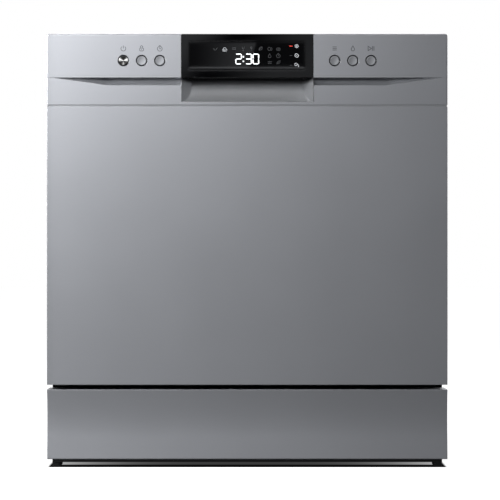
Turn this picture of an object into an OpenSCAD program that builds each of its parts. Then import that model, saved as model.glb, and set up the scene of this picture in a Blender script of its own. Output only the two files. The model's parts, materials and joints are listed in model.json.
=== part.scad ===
// Compact countertop dishwasher with two pull-out racks.
// Millimetres. +Z is up, the front faces -Y, and the machine stands on z = 0.
// The origin lies under the middle of its width and depth.

/* [Cabinet] */
// Width of the door and of the kick panel
body_w = 550; // [546:1:554]
// Height from the worktop to the top of the fascia
body_h = 595; // [592:1:600]
// Depth from the door face to the ends of the hose spigots
body_d = 500; // [498:1:506]
// How far the sheet-metal cabinet stands in from each end of the door
cabinet_inset = 3; // [2:0.5:4]
// Height of the rubber feet
foot_h = 6.5; // [5:0.5:8]

/* [Front] */
// Top edge of the kick panel
kick_top = 107.5; // [105:0.5:108]
// Gap between kick panel and door
kick_gap = 5.4; // [5:0.1:7]
// Height of the seam between door panel and fascia
seam_z = 495; // [492:1:497]
// Width of the seam
seam_gap = 2; // [1:0.5:3]
// Height of the crease that runs across the fascia
crease_z = 534.6; // [532:0.2:536]
// Depth of the finger scoop below the crease
scoop_d = 11; // [8:0.5:11.5]
// Height of the scoop in the middle
scoop_h = 10.6; // [8:0.2:12]
// Width of the display bezel and of the handle pocket
bezel_w = 182; // [176:1:186]

/* [Buttons] */
// Diameter of a button cap
cap_d = 13; // [12:0.5:14]
// Diameter of the hole round a cap
cap_hole_d = 15.6; // [15:0.2:17]
// Distance from the middle of the front to the first button
cap_x = 120; // [118:1:124]
// Distance between buttons
cap_pitch = 25; // [22:0.5:26]
// Height of the button row
cap_z = 558; // [556:1:560]
// Travel of a button
cap_travel = 1.5; // [1:0.1:2]

/* [Door] */
// Thickness of the door from face to liner
door_t = 45; // [44:0.5:46]
// Distance from the door face back to the hinge axis
axis_in = 16; // [15.5:0.5:16.5]
// Height of the hinge axis above the door's lower edge
axis_up = 24; // [23.5:0.5:24]
// Thickness of steel sheet
sheet_t = 1.2; // [0.8:0.1:1.5]
// Diameter of the hinge pins
hinge_pin_d = 8; // [6:0.5:9]

/* [Tub and racks] */
// Inside width of the tub
tub_w = 490; // [486:1:492]
// Height of the tub ceiling
tub_top = 572; // [568:1:573]
// Thickness of the rack wires
wire_d = 3.4; // [3:0.2:4]
// Diameter of the lower rack's wheels
wheel_d = 32; // [28:1:32]
// Pitch of the plate tines
tine_pitch = 21; // [18:1:24]
// Length of the plate tines
tine_h = 60; // [50:1:62]

/* [Hidden] */
$fn = 48;
e = 0.01;
seam = 0.1;
lap = wire_d - 0.4;
half_w = body_w / 2;
cab_x = half_w - cabinet_inset;
front_y = -body_d / 2;
rear_y = body_d / 2;
cab_front = front_y + 48;
cab_rear = rear_y - 14;
door_z0 = kick_top + kick_gap;
liner_y = front_y + door_t;
hinge_y = front_y + axis_in;
hinge_z = door_z0 + axis_up;
liner_r = door_t - axis_in;
ledge_z = hinge_z + liner_r;
base_top = 60;
cover_z = body_h - 18;
tub_x = tub_w / 2;
tub_y0 = cab_front + 2;
tub_y1 = 196;
floor_z = 140;
cap_xs = [-cap_x - 2 * cap_pitch, -cap_x - cap_pitch, -cap_x, cap_x, cap_x + cap_pitch, cap_x + 2 * cap_pitch];
arm_y = -5;
filter_y = -80;
arm_r = 182;
wheel_axle_z = ledge_z + wheel_d / 2;
wheel_x = 229;
wheel_ys = [-72, 118];
low_z = 187;
low_x = 212;
low_y0 = -188;
low_y1 = 176;
up_z = 424;
up_x = 218;
up_y0 = -184;
up_y1 = 172;
rail_z = 452;
basket_x0 = -204;
basket_x1 = -134;
basket_y0 = -92;
basket_y1 = 128;
tine_ys = [-95, -20, 55, 130];
dose_z = 330;
inlet_x = -190;
drain_x = -130;
gland_x = 190;
port_z = 84;
salt_x = -150;
salt_y = 90;
float_x = 188;
float_y = 152;

// ---- shared shapes ----

module slab(x0, x1, y0, y1, z0, z1) translate([x0, y0, z0]) cube([x1 - x0, y1 - y0, z1 - z0]);

module rod_x(x0, x1, y, z, d) translate([x0, y, z]) rotate([0, 90, 0]) cylinder(d = d, h = x1 - x0);

module rod_y(y0, y1, x, z, d) translate([x, y0, z]) rotate([-90, 0, 0]) cylinder(d = d, h = y1 - y0);

module rod_z(z0, z1, x, y, d) translate([x, y, z0]) cylinder(d = d, h = z1 - z0);

// A rack wire is eight-sided, with flats that face its neighbours.
module wire(length, d) rotate([0, 0, 22.5]) cylinder(d = d / cos(22.5), h = length, $fn = 8);

module wire_x(x0, x1, y, z, d = wire_d) translate([x0, y, z]) rotate([0, 90, 0]) wire(x1 - x0, d);

module wire_y(y0, y1, x, z, d = wire_d) translate([x, y0, z]) rotate([-90, 0, 0]) wire(y1 - y0, d);

module wire_z(z0, z1, x, y, d = wire_d) translate([x, y, z0]) wire(z1 - z0, d);

// Extrudes a (y, z) outline along X.
module across(x0, x1) translate([x0, 0, 0]) rotate([90, 0, 90]) linear_extrude(x1 - x0) children();

// Extrudes an (x, z) outline along Y.
module along(y0, y1) translate([0, y1, 0]) rotate([90, 0, 0]) linear_extrude(y1 - y0) children();

module both_sides() {
  children();
  mirror([1, 0, 0]) children();
}

module rounded(w, d, r) {
  square([w - 2 * r, d], center = true);
  square([w, d - 2 * r], center = true);
  for (sx = [-1, 1], sy = [-1, 1]) translate([sx * (w / 2 - r), sy * (d / 2 - r)]) circle(r);
}

// Box with rounded upright edges, from z0 to z1.
module rounded_box(x0, x1, y0, y1, z0, z1, r)
  translate([(x0 + x1) / 2, (y0 + y1) / 2, z0]) linear_extrude(z1 - z0) rounded(x1 - x0, y1 - y0, r);

// Points of an arc about (cx, cy) from angle a to angle b.
function arc(cx, cy, r, a, b, n = 8) = [for (i = [0:n]) let (t = a + (b - a) * i / n) [cx + r * cos(t), cy + r * sin(t)]];

// ---- base and casing ----

module feet() color("dimgray")
  both_sides() for (y = [front_y + 24, cab_rear - 26])
    translate([262.5, y, 0]) linear_extrude(foot_h) rounded(11, 40, 3);

module base_tray() {
  floor_top = foot_h + 4.3;
  wall_z0 = floor_top + seam;
  side_x = 267.8;
  color("#202124") {
    slab(-side_x, side_x, front_y + 4, cab_rear, foot_h, floor_top);
    difference() {
      slab(-side_x, side_x, cab_rear - 3, cab_rear, wall_z0, 108);
      rod_y(cab_rear - 4, cab_rear + 1, inlet_x, port_z, 29);
      rod_y(cab_rear - 4, cab_rear + 1, drain_x, port_z, 21);
      rod_y(cab_rear - 4, cab_rear + 1, gland_x, port_z, 16);
    }
    slab(-side_x, side_x, cab_front, cab_front + 3, wall_z0, hinge_z - 12);
    slab(-254, 254, cab_front, cab_front + 3, hinge_z - 12 + seam, 138);
    both_sides() slab(side_x - 3, side_x, cab_front + 3 + seam, cab_rear - 3 - seam, wall_z0, base_top);
    for (x = [-200, -70, 60, 200]) slab(x - 1.5, x + 1.5, cab_front + 3 + seam, cab_front + 18, wall_z0, 70);
  }
}
// The kick panel is hollow above a bend line: an arc that leans back from the top edge, and a flat foot
// that comes forward again below it.
module kick_outline(t) {
  bend_z = 42;
  hollow_r = 229;
  hollow_z = 62.5;
  hollow_y = front_y + 4.1 - hollow_r;
  bend_y = hollow_y + sqrt(hollow_r * hollow_r - (hollow_z - bend_z) * (hollow_z - bend_z));
  difference() {
    polygon([
      [cab_front - 4 + 2 * t, kick_top - t], [front_y + 1.5 + t, kick_top - t], [front_y + t, kick_top - 1.5 - t],
      [bend_y + t, bend_z], [front_y + 0.5 + t, 12.3 + t], [front_y + 1.9 + t, 10.8 + t],
      [cab_front - 4 + 2 * t, 10.8 + t]
    ]);
    translate([hollow_y, hollow_z]) circle(r = hollow_r + t, $fn = 360);
  }
}
module kick_panel() color("#8f9196") difference() {
  across(-half_w, half_w) kick_outline(0);
  across(-half_w + sheet_t, half_w - sheet_t) kick_outline(sheet_t);
}

module side_panel() {
  flange_x = 262;
  slab(cab_x - sheet_t, cab_x, cab_front, cab_rear, 10.8, cover_z);
  slab(flange_x, cab_x - sheet_t + e, cab_front, cab_front + sheet_t, 152, cover_z);
  slab(flange_x, cab_x - sheet_t + e, cab_rear - sheet_t, cab_rear, 110, cover_z);
}

module side_panel_right() color("#8b8d92") side_panel();

module side_panel_left() color("#8b8d92") mirror([1, 0, 0]) side_panel();

module top_cover() color("#8b8d92") difference() {
  rounded_box(-cab_x, cab_x, cab_front, cab_rear, cover_z, body_h - 1, 5);
  rounded_box(-cab_x + sheet_t, cab_x - sheet_t, cab_front + sheet_t, cab_rear - sheet_t,
    cover_z - 1, body_h - 1 - sheet_t, 4);
  slab(-15, 15, cab_front - 1, cab_front + 3, cover_z + 1.5, body_h - 3);
}

screw_xs = [-240, -80, 80, 240];
screw_zs = [124, 566];

module rear_panel() color("#a9abad") difference() {
  union() {
    slab(-262, 262, cab_rear - sheet_t, cab_rear, 108.2, cover_z - 0.2);
    for (x = [-150, 0, 150]) slab(x - 40, x + 40, cab_rear - sheet_t - 3, cab_rear - sheet_t + e, 180, 500);
  }
  for (x = [-150, 0, 150]) slab(x - 37, x + 37, cab_rear - 3.2, cab_rear + 1, 183, 497);
  for (x = screw_xs, z = screw_zs) rod_y(cab_rear - 3, cab_rear + 1, x, z, 4);
}

module rear_screws() color("#c8c8c8") for (x = screw_xs, z = screw_zs) difference() {
  union() {
    rod_y(cab_rear - 6, cab_rear + e, x, z, 3.4);
    rod_y(cab_rear, cab_rear + 2, x, z, 7.6);
  }
  slab(x - 2.4, x + 2.4, cab_rear + 1, cab_rear + 3, z - 0.5, z + 0.5);
  slab(x - 0.5, x + 0.5, cab_rear + 1, cab_rear + 3, z - 2.4, z + 2.4);
}

// ---- tub ----

// Outline of the tub, seen from the front, grown by g.
module tub_outline(z0, g) {
  r = 25;
  half = tub_x + g;
  top = tub_top + g;
  polygon(concat([[-half, z0], [half, z0]], arc(half - r, top - r, r, 0, 90, 10), arc(r - half, top - r, r, 90, 180, 10)));
}

module tub_wrapper() color("#c3c5c7") difference() {
  union() {
    along(tub_y0, tub_y1 + sheet_t) tub_outline(floor_z, sheet_t);
    along(cab_front, tub_y0 + e) translate([-262, 152]) square([524, cover_z - 152]);
  }
  along(cab_front - 1, tub_y1) tub_outline(floor_z - 1, 0);
  along(tub_y1 - 1, tub_y1 + 2) tub_outline(floor_z - 1, 0);
}

module tub_back() color("#bfc1c3") {
  difference() {
    along(tub_y1 - sheet_t, tub_y1) tub_outline(floor_z, -0.2);
    slab(-150, 150, tub_y1 - 5, tub_y1 + 1, 230, 500);
  }
  difference() {
    slab(-151, 151, tub_y1 - 4, tub_y1, 229, 501);
    slab(-150, 150, tub_y1 - 4 + sheet_t, tub_y1 + 1, 230, 500);
  }
}

module tub_floor() color("#b4b6b8") {
  edge_x = tub_x - 0.2;
  back_y = tub_y1 - sheet_t - 0.2;
  ledge_x = 214;
  difference() {
    union() {
      slab(-edge_x, edge_x, tub_y0, back_y, floor_z, floor_z + 3);
      slab(-ledge_x, ledge_x, tub_y0, tub_y0 + 3, floor_z, 158);
      both_sides() slab(ledge_x, edge_x, tub_y0, back_y, floor_z, ledge_z);
    }
    both_sides() slab(ledge_x + 2.5, edge_x - 2.5, tub_y0 + 2.5, back_y - 2.5, floor_z - 1, ledge_z - 2.5);
    rod_z(floor_z - 1, floor_z + 4, 0, filter_y, 84);
    rod_z(floor_z - 1, floor_z + 4, 0, arm_y, 34);
    rod_z(floor_z - 1, floor_z + 4, salt_x, salt_y, 56);
    rod_z(floor_z - 1, floor_z + 4, float_x, float_y, 12);
    slab(-15, 15, 181, 193, floor_z - 1, floor_z + 4);
  }
}

module door_seal() color("#2a2b2d") along(cab_front - 2.7, cab_front) difference() {
  tub_outline(168, 11 - 6.8);
  tub_outline(167, 0.6);
}

module latch_striker() color("#d9d9d6") difference() {
  slab(-20, 20, cab_front + 4, cab_front + 26, tub_top + 2, body_h - 2.5);
  slab(-13, 13, cab_front + 3, cab_front + 21, tub_top + 6, body_h - 4);
}

// ---- works in the base ----

module hinge_brackets() color("#b9bbbd") both_sides() difference() {
  union() {
    across(258, 261) {
      translate([hinge_y, hinge_z]) circle(11);
      polygon([
        [hinge_y, hinge_z - 10], [cab_front + 4, hinge_z - 10], [cab_front + 4, 70], [cab_front + 80, 70],
        [cab_front + 80, hinge_z + 10], [hinge_y, hinge_z + 10]
      ]);
    }
    slab(258, 264.7, cab_front + 40, cab_front + 60, 46, 70 + e);
  }
  rod_x(257, 262, hinge_y, hinge_z, hinge_pin_d + 0.1);
}

// Balance springs of the door, one in each side of the base, as stacked rings.
module hinge_springs() color("#9a9c9e") both_sides() for (i = [0:17])
  translate([254, -60 + i * 4, 100]) rotate([90, 0, 0]) rotate_extrude() translate([6.5, 0]) circle(1.9);

sump_r = 46;

module sump() color("#d6d7d4") difference() {
  union() {
    rod_z(56, floor_z, 0, filter_y, 2 * sump_r);
    rod_z(floor_z - 3, floor_z, 0, filter_y, 2 * sump_r + 20);
    rod_z(64, 158, 0, arm_y, 32);
    rod_z(158 - e, 180, 0, arm_y, 20);
    slab(-12, 12, filter_y + sump_r - 6, arm_y, 66, 96);
  }
  rod_z(60, floor_z + 1, 0, filter_y, 2 * sump_r - 6);
  rod_z(88, 174, 0, arm_y, 12);
}

module wash_pump() color("#3a3c40") {
  rod_x(sump_r + 24, sump_r + 46, filter_y, 76, 78);
  rod_x(sump_r, sump_r + 24 + e, filter_y, 76, 30);
  rod_x(sump_r + 46 - e, sump_r + 116, filter_y, 76, 62);
  for (i = [0:5]) rod_x(sump_r + 56 + 9 * i, sump_r + 60 + 9 * i, filter_y, 76, 68);
}

module drain_pump() color("#e0e0dc") {
  rod_x(-sump_r - 14, -sump_r, filter_y, 74, 22);
  rod_x(-sump_r - 34, -sump_r - 14 + e, filter_y, 74, 46);
  rod_x(-sump_r - 74, -sump_r - 34 + e, filter_y, 74, 36);
  rod_z(84, 116, -sump_r - 24, filter_y, 18);
}

module heater() color("#c9cacc") {
  rod_z(34, 112, 80, 30, 52);
  rod_z(112 - e, 118, 80, 30, 30);
  rod_z(24, 34 + e, 80, 30, 30);
  slab(16, 80, 24, 36, 70, 82);
  for (x = [72, 88]) rod_z(118 - e, 128, x, 30, 5);
}

module water_softener() color("#e4e4e0") difference() {
  union() {
    rounded_box(salt_x - 85, salt_x + 45, salt_y - 55, salt_y + 55, 22, 128, 8);
    rod_z(128 - e, floor_z + 6, salt_x, salt_y, 55.6);
  }
  rod_z(26, floor_z + 7, salt_x, salt_y, 44);
}

module salt_cap() color("#c9cdd0") {
  rod_z(floor_z + 6.3, floor_z + 11, salt_x, salt_y, 62);
  rod_z(floor_z - 10, floor_z + 6.3 + e, salt_x, salt_y, 43.8);
  slab(salt_x - 24, salt_x + 24, salt_y - 3.5, salt_y + 3.5, floor_z + 11 - e, floor_z + 19);
}

module float_cup() color("#d9dbd8") {
  rod_z(floor_z + 3.5, floor_z + 20, float_x, float_y, 36);
  rod_z(floor_z + 20 - e, floor_z + 24, float_x, float_y, 28);
  rod_z(floor_z - 22, floor_z + 3.5 + e, float_x, float_y, 9);
}

module inlet_valve() color("#ecebe6") difference() {
  union() {
    slab(inlet_x - 17, inlet_x + 17, cab_rear - 46, cab_rear - 8, port_z - 20, port_z + 34);
    rod_y(cab_rear - 8 - e, cab_rear - 3.2, inlet_x, port_z, 34);
    rod_y(cab_rear - 3.2 - e, rear_y, inlet_x, port_z, 26.44);
    rod_z(port_z + 34 - e, port_z + 58, inlet_x, cab_rear - 27, 26);
  }
  rod_y(cab_rear - 30, rear_y + 1, inlet_x, port_z, 18);
}

module drain_outlet() color("#8f9193") difference() {
  union() {
    rod_y(cab_rear - 40, rear_y, drain_x, port_z, 19);
    rod_y(cab_rear - 8, cab_rear - 3.2, drain_x, port_z, 30);
  }
  rod_y(cab_rear - 41, rear_y + 1, drain_x, port_z, 13);
}

module cable_gland() color("#303133") difference() {
  union() {
    translate([gland_x, cab_rear, port_z]) rotate([-90, 0, 0]) cylinder(d = 24, h = 6, $fn = 6);
    rod_y(cab_rear - 14, cab_rear + e, gland_x, port_z, 15.6);
    rod_y(cab_rear + 6 - e, cab_rear + 11, gland_x, port_z, 15);
  }
  rod_y(cab_rear - 15, cab_rear + 12, gland_x, port_z, 8);
}

// Flat duct that carries water up the back of the tub to the upper rack.
module water_duct() color("#dfe0dc") {
  nozzle_z = 413;
  difference() {
    slab(-14, 14, 182, 192, 118, nozzle_z + 12);
    slab(-11, 11, 184.5, 189.5, 117, nozzle_z + 9);
    rod_y(176, 188, 0, nozzle_z, 10);
  }
  difference() {
    rod_y(174, 182 + e, 0, nozzle_z, 16);
    rod_y(173, 183, 0, nozzle_z, 10);
  }
}

// ---- wash arms and filters ----

module filter_plate() color("#a7a9ab") difference() {
  rounded_box(-105, 105, -150, 60, floor_z + 3.2, floor_z + 4.8, 30);
  rod_z(floor_z + 2, floor_z + 6, 0, filter_y, 70);
  rod_z(floor_z + 2, floor_z + 6, 0, arm_y, 33);
}

module filter_cup() color("#8d9093") {
  difference() {
    union() {
      rod_z(74, floor_z + 5, 0, filter_y, 69);
      rod_z(floor_z + 5 - e, floor_z + 8, 0, filter_y, 76);
    }
    rod_z(78, floor_z + 9, 0, filter_y, 62);
  }
  slab(-31.5, 31.5, filter_y - 3, filter_y + 3, floor_z - 8, floor_z + 12);
}

// A spray arm is a flat bar with round ends and a row of slanted jets.
module spray_arm(z, bore_d, hub_z0, hub_z1) {
  tip_r = 15;
  jets = [for (i = [2:9]) i * 18];
  difference() {
    union() {
      translate([0, arm_y, z]) linear_extrude(9) {
        square([2 * (arm_r - tip_r), 2 * tip_r], center = true);
        for (s = [-1, 1]) translate([s * (arm_r - tip_r), 0]) circle(tip_r);
        circle(30);
      }
      rod_z(hub_z0, hub_z1, 0, arm_y, 38);
    }
    rod_z(hub_z0 - 1, hub_z1 + 1, 0, arm_y, bore_d);
    for (x = jets, s = [-1, 1]) rod_z(z + 6, z + 10, s * x, arm_y + s * 5, 3);
  }
}

module lower_spray_arm() color("#b7babd") spray_arm(164.5, 20.1, 160, 176);

module upper_spray_arm() color("#b7babd") spray_arm(396, 16.1, 394, 405.4);

module rack_feed_pipe() color("#dfe0dc") {
  pipe_z = 413;
  difference() {
    union() {
      rod_y(arm_y, 168, 0, pipe_z, 14);
      rod_z(406, 419, 0, arm_y, 26);
      rod_z(393, 406 + e, 0, arm_y, 16);
      rod_z(390, 393 + e, 0, arm_y, 24);
    }
    rod_y(arm_y, 173, 0, pipe_z, 10);
  }
  both_sides() slab(6, 30, 150, 156, 409, 419.5);
}

// ---- racks ----

// Floor of a rack: wires along Y below and wires along X on top of them.
module rack_floor(x, y0, y1, z, nx, ny, cross_d = wire_d) {
  for (i = [0:nx]) wire_y(y0, y1, -x + 2 * x * i / nx, z);
  for (j = [0:ny]) wire_x(-x - wire_d / 2, x + wire_d / 2, y0 + (y1 - y0) * j / ny, z + lap, cross_d);
}

// Side wall of a rack, standing in a plane of constant x, with its upright wires on the inside.
module rack_side(x, y0, y1, z0, z1, posts) {
  for (z = [z0 + wire_d / 2, (z0 + z1) / 2, z1 - wire_d / 2]) wire_y(y0, y1, x, z);
  for (j = [0:posts]) wire_z(z0, z1, x - lap, y0 + 2 + (y1 - y0 - 4) * j / posts);
}

// End wall of a rack, standing in a plane of constant y. Its uprights stand at dy from it.
module rack_end(x, y, dy, z0, z1, posts) {
  for (z = [z0 + wire_d / 2, (z0 + z1) / 2, z1 - wire_d / 2]) wire_x(-x, x, y, z);
  for (i = [0:posts]) wire_z(z0, z1, -x + 2 + (2 * x - 4) * i / posts, y + dy);
}

low_floor_y0 = low_y0 + 30;
low_wall_z = low_z + lap + wire_d / 2 + seam;

module axle_lugs() both_sides() for (y = wheel_ys) {
  slab(low_x + wire_d / 2 + seam, low_x + 6, y - 9, y + 9, wheel_axle_z - 9, low_wall_z + 20);
  rod_x(low_x + 6 - e, wheel_x + 7, y, wheel_axle_z, 8);
}

module tine_row(y) {
  for (i = [0:14]) wire_z(low_wall_z, low_wall_z + tine_h, -115 + i * tine_pitch, y, 3);
  rod_x(-118, -115 + 14 * tine_pitch + 3, y, low_wall_z + 1.6, 3);
}

// Raked wire from the front of the rack floor up to the front wall.
module front_link(x) across(x - 1.5, x + 1.5) let (y = low_floor_y0 - wire_d / 2 - seam) polygon([
  [y, low_z - 1.5], [y, low_z + 3.5], [low_y0 + 4, low_wall_z + 33], [low_y0 + 1, low_wall_z + 30]
]);

module lower_rack() color("#b9bcc0") {
  rack_floor(low_x, low_floor_y0, low_y1, low_z, 14, 8);
  both_sides() rack_side(low_x, low_y0 + 8, low_y1, low_wall_z, low_wall_z + 88, 8);
  rack_end(low_x - 6, low_y1, -lap, low_wall_z, low_wall_z + 88, 10);
  rack_end(low_x - 6, low_y0 + 2, lap, low_wall_z + 30, low_wall_z + 88, 10);
  for (i = [0:10]) front_link(-low_x + 8 + (2 * low_x - 16) * i / 10);
  axle_lugs();
  for (i = [0, 2, 3]) tine_row(tine_ys[i]);
}

module folding_tines() color("#b9bcc0") tine_row(tine_ys[1]);

module cutlery_basket() color("#c6c9cb") {
  z0 = low_wall_z;
  z1 = low_wall_z + 118;
  difference() {
    rounded_box(basket_x0, basket_x1, basket_y0, basket_y1, z0, z1, 6);
    for (i = [0:2]) let (step = (basket_y1 - basket_y0 - 2.4) / 3, y = basket_y0 + 2.4 + i * step)
      slab(basket_x0 + 2.4, basket_x1 - 2.4, y, y + step - 2.4, z0 + 3, z1 + 1);
    for (i = [0:9], k = [0:4]) let (y = basket_y0 + 9 + i * 21, z = z0 + 12 + k * 20)
      slab(basket_x0 - 1, basket_x1 + 1, y, y + 12, z, z + 13);
  }
  mid_x = (basket_x0 + basket_x1) / 2;
  third = (basket_y1 - basket_y0 - 2.4) / 3;
  for (i = [1, 2]) let (y = basket_y0 + 1.2 + i * third) slab(mid_x - 9, mid_x + 9, y - 1.2, y + 1.2, z1 - 2, z1 + 30);
  slab(mid_x - 6, mid_x + 6, basket_y0 + third, basket_y1 - third, z1 + 30 - e, z1 + 36);
}

// Wheel with a hub and a recessed web, running on its axle with a small clearance.
module rack_wheel(side, y) {
  wide = 9;
  translate([side * wheel_x, y, wheel_axle_z]) rotate([0, 90, 0]) difference() {
    cylinder(d = wheel_d - 0.6, h = wide, center = true);
    for (s = [-1, 1]) translate([0, 0, s * wide / 2]) difference() {
      cylinder(d = wheel_d - 8, h = 5, center = true);
      cylinder(d = 14, h = 6, center = true);
    }
    cylinder(d = 8.1, h = wide + 2, center = true);
  }
}

module wheel_front_left() color("#d5d7d8") rack_wheel(-1, wheel_ys[0]);

module wheel_front_right() color("#d5d7d8") rack_wheel(1, wheel_ys[0]);

module wheel_rear_left() color("#d5d7d8") rack_wheel(-1, wheel_ys[1]);

module wheel_rear_right() color("#d5d7d8") rack_wheel(1, wheel_ys[1]);

up_wall_z = up_z + lap + wire_d / 2 + seam;

module upper_rack() color("#b9bcc0") {
  rack_floor(up_x, up_y0, up_y1, up_z, 14, 8);
  both_sides() rack_side(up_x, up_y0, up_y1, up_wall_z, up_wall_z + 66, 8);
  rack_end(up_x - 6, up_y1, -lap, up_wall_z, up_wall_z + 66, 10);
  rack_end(up_x - 6, up_y0, lap, up_wall_z, up_wall_z + 66, 10);
  for (x = [-60, 80]) {
    wire_y(up_y0 + 20, up_y1 - 20, x, up_wall_z + 1.6, 3);
    for (i = [0:11]) wire_z(up_wall_z, up_wall_z + 38, x, up_y0 + 24 + i * 28, 3);
  }
}

module rack_rails() color("#9fa2a5") both_sides() {
  slab(up_x + 6, up_x + 17.7, up_y0 + 4, up_y1, rail_z - 7, rail_z + 7);
  for (y = [up_y0 + 30, 0, up_y1 - 40]) slab(up_x + 1.8, up_x + 6 + e, y, y + 14, rail_z - 5, rail_z + 5);
}

module rail_guides() color("#cdcfd1") both_sides() difference() {
  slab(up_x + 9, tub_x - 0.1, cab_front + 7, 182, rail_z - 13, rail_z + 13);
  slab(up_x + 8, up_x + 18, cab_front + 6, 183, rail_z - 7.3, rail_z + 7.3);
}

// Cup shelf on the left wall of the upper rack: it folds up against the wall.
shelf_z = up_wall_z + 44;
shelf_x = -up_x + 8;

module cup_shelf() color("#b9bcc0") {
  for (j = [0:8]) wire_x(shelf_x, shelf_x + 84, -120 + j * 30, shelf_z, 3);
  for (x = [shelf_x + 1.5, shelf_x + 42, shelf_x + 82]) rod_y(-121.5, 121.5, x, shelf_z + 2.6, 3);
}

// ---- door ----

slot_x0 = 252;
slot_x1 = 272.5;
pan_y = front_y + 43;
low_lip_y = hinge_y + 14;

module door_outer_panel() color("#8f9196") difference() {
  slab(-half_w, half_w, front_y, pan_y, door_z0, seam_z);
  slab(-half_w + sheet_t, half_w - sheet_t, front_y + sheet_t, pan_y + 1, door_z0 + sheet_t, seam_z - sheet_t);
  slab(-half_w + 20, half_w - 20, front_y + 12, pan_y + 1, seam_z - 3, seam_z + 1);
  slab(-half_w + sheet_t, half_w - sheet_t, low_lip_y, pan_y + 1, door_z0 - 1, door_z0 + 3);
  both_sides() slab(slot_x0, slot_x1, front_y + sheet_t, pan_y + 1, door_z0 - 1, door_z0 + 3);
}

// Side view of the liner: flat, then an arc about the hinge axis down to the lower edge.
module liner_outline(g) {
  low = door_z0 + 2 + g;
  r = liner_r - g;
  polygon(concat(
    [[front_y + 20, low], [front_y + 20, body_h - 6 - g], [liner_y - g, body_h - 6 - g]],
    arc(hinge_y, hinge_z, r, 0, -asin((hinge_z - low) / r), 8)
  ));
}

module door_inner_liner() color("#b9bcbe") difference() {
  union() {
    across(-250, 250) liner_outline(0);
    across(-half_w + 1.4, half_w - 1.4) intersection() {
      liner_outline(0);
      translate([pan_y + 0.2, 182]) square([60, 420]);
    }
  }
  across(-249, 249) liner_outline(1);
  across(-half_w + 2.4, half_w - 2.4) intersection() {
    liner_outline(1);
    translate([pan_y - 1, 183]) square([60, 400]);
  }
  slab(-half_w, half_w, front_y, pan_y + 0.1, hinge_z, body_h);
  slab(-half_w, half_w, front_y, low_lip_y + 0.2, door_z0, hinge_z + e);
  slab(-78.3, 78.3, liner_y - 3, liner_y + 1, dose_z - 82.3, dose_z + 50.3);
  slab(-9, 9, liner_y - 3, liner_y + 1, body_h - 15, body_h - 7.2);
}

module hinge_arms() color("#b9bbbd") both_sides() {
  across(262.5, 265.5) {
    translate([hinge_y, hinge_z]) circle(11);
    polygon([
      [hinge_y - 9, hinge_z], [hinge_y + 9, hinge_z], [hinge_y + 15, hinge_z + 60], [hinge_y + 15, hinge_z + 280],
      [hinge_y - 9, hinge_z + 280]
    ]);
  }
  rod_x(255, 262.5 + e, hinge_y, hinge_z, hinge_pin_d);
  rod_x(253, 255 + e, hinge_y, hinge_z, hinge_pin_d + 5);
  slab(265.5 - e, 273.7, hinge_y - 8, hinge_y + 14, hinge_z + 80, hinge_z + 83);
  slab(265.5 - e, 273.7, hinge_y - 8, hinge_y + 14, hinge_z + 240, hinge_z + 243);
}

fascia_z0 = seam_z + seam_gap;
shell_t = 2.5;
pocket_z0 = 501;

// Air removed below the crease: a wedge in the middle whose ends run out to points.
module scoop() {
  full_x = 185;
  tip_x = 269;
  hull() {
    across(-full_x, full_x) polygon(concat(
      [[front_y - 0.5, crease_z]],
      [for (a = [0:10:90]) [front_y - 0.5 + (scoop_d + 0.5) * cos(a), crease_z - scoop_h * sin(a)]]
    ));
    for (s = [-1, 1]) translate([s * tip_x, front_y - 0.5, crease_z - 0.1]) cube([0.1, 0.2, 0.1]);
  }
}
module fascia() color("#a2a4a8") difference() {
  intersection() {
    across(-half_w, half_w) polygon(concat(
      [[pan_y, fascia_z0], [front_y, fascia_z0]],
      arc(front_y + 3, body_h - 3, 3, 180, 90, 6),
      [[pan_y, body_h]]
    ));
    along(front_y - 1, pan_y + 1) polygon(concat(
      [[half_w, fascia_z0], [half_w, body_h - 3]],
      arc(half_w - 3, body_h - 3, 3, 0, 90, 6),
      arc(3 - half_w, body_h - 3, 3, 90, 180, 6),
      [[-half_w, fascia_z0]]
    ));
  }
  difference() {
    slab(shell_t - half_w, half_w - shell_t, front_y + shell_t, pan_y + 1, fascia_z0 - 1, body_h - shell_t);
    slab(-272, 272, front_y, front_y + scoop_d + shell_t, crease_z - scoop_h - 4, crease_z + shell_t);
  }
  scoop();
  slab(-bezel_w / 2, bezel_w / 2, front_y - 1, front_y + 7.4, crease_z, body_h + 1);
  slab(-bezel_w / 2, bezel_w / 2, front_y - 1, front_y + scoop_d + shell_t + 1, pocket_z0, crease_z + 3);
  for (x = cap_xs) rod_y(front_y - 1, front_y + 8, x, cap_z, cap_hole_d);
}

// Pull pocket: a quarter-round hollow that narrows towards the back and opens upwards behind the bezel.
module handle_pocket() color("#3b3c40") {
  half = bezel_w / 2 - 0.3;
  back_y = front_y + 37;
  lip = 1.4;
  r = crease_z - pocket_z0 - lip;
  difference() {
    slab(-half, half, front_y + 0.4, back_y, pocket_z0 + 0.3, crease_z);
    hull() {
      across(-77, 77) polygon(concat([[front_y - 1, crease_z + 1]], arc(front_y, crease_z, r, 270, 360, 10)));
      slab(-half + 0.8, half - 0.8, front_y - 1, front_y + 0.5, pocket_z0 + lip + 0.3, crease_z + 1);
    }
  }
  difference() {
    slab(-80, 80, front_y + 13, back_y, crease_z - e, crease_z + 12);
    slab(-77, 77, front_y + 15, front_y + 34, crease_z - 1, crease_z + 10);
  }
}

window_x0 = -80;
window_x1 = 79;
window_z0 = crease_z + 10.4;
window_z1 = body_h - 10;

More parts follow.
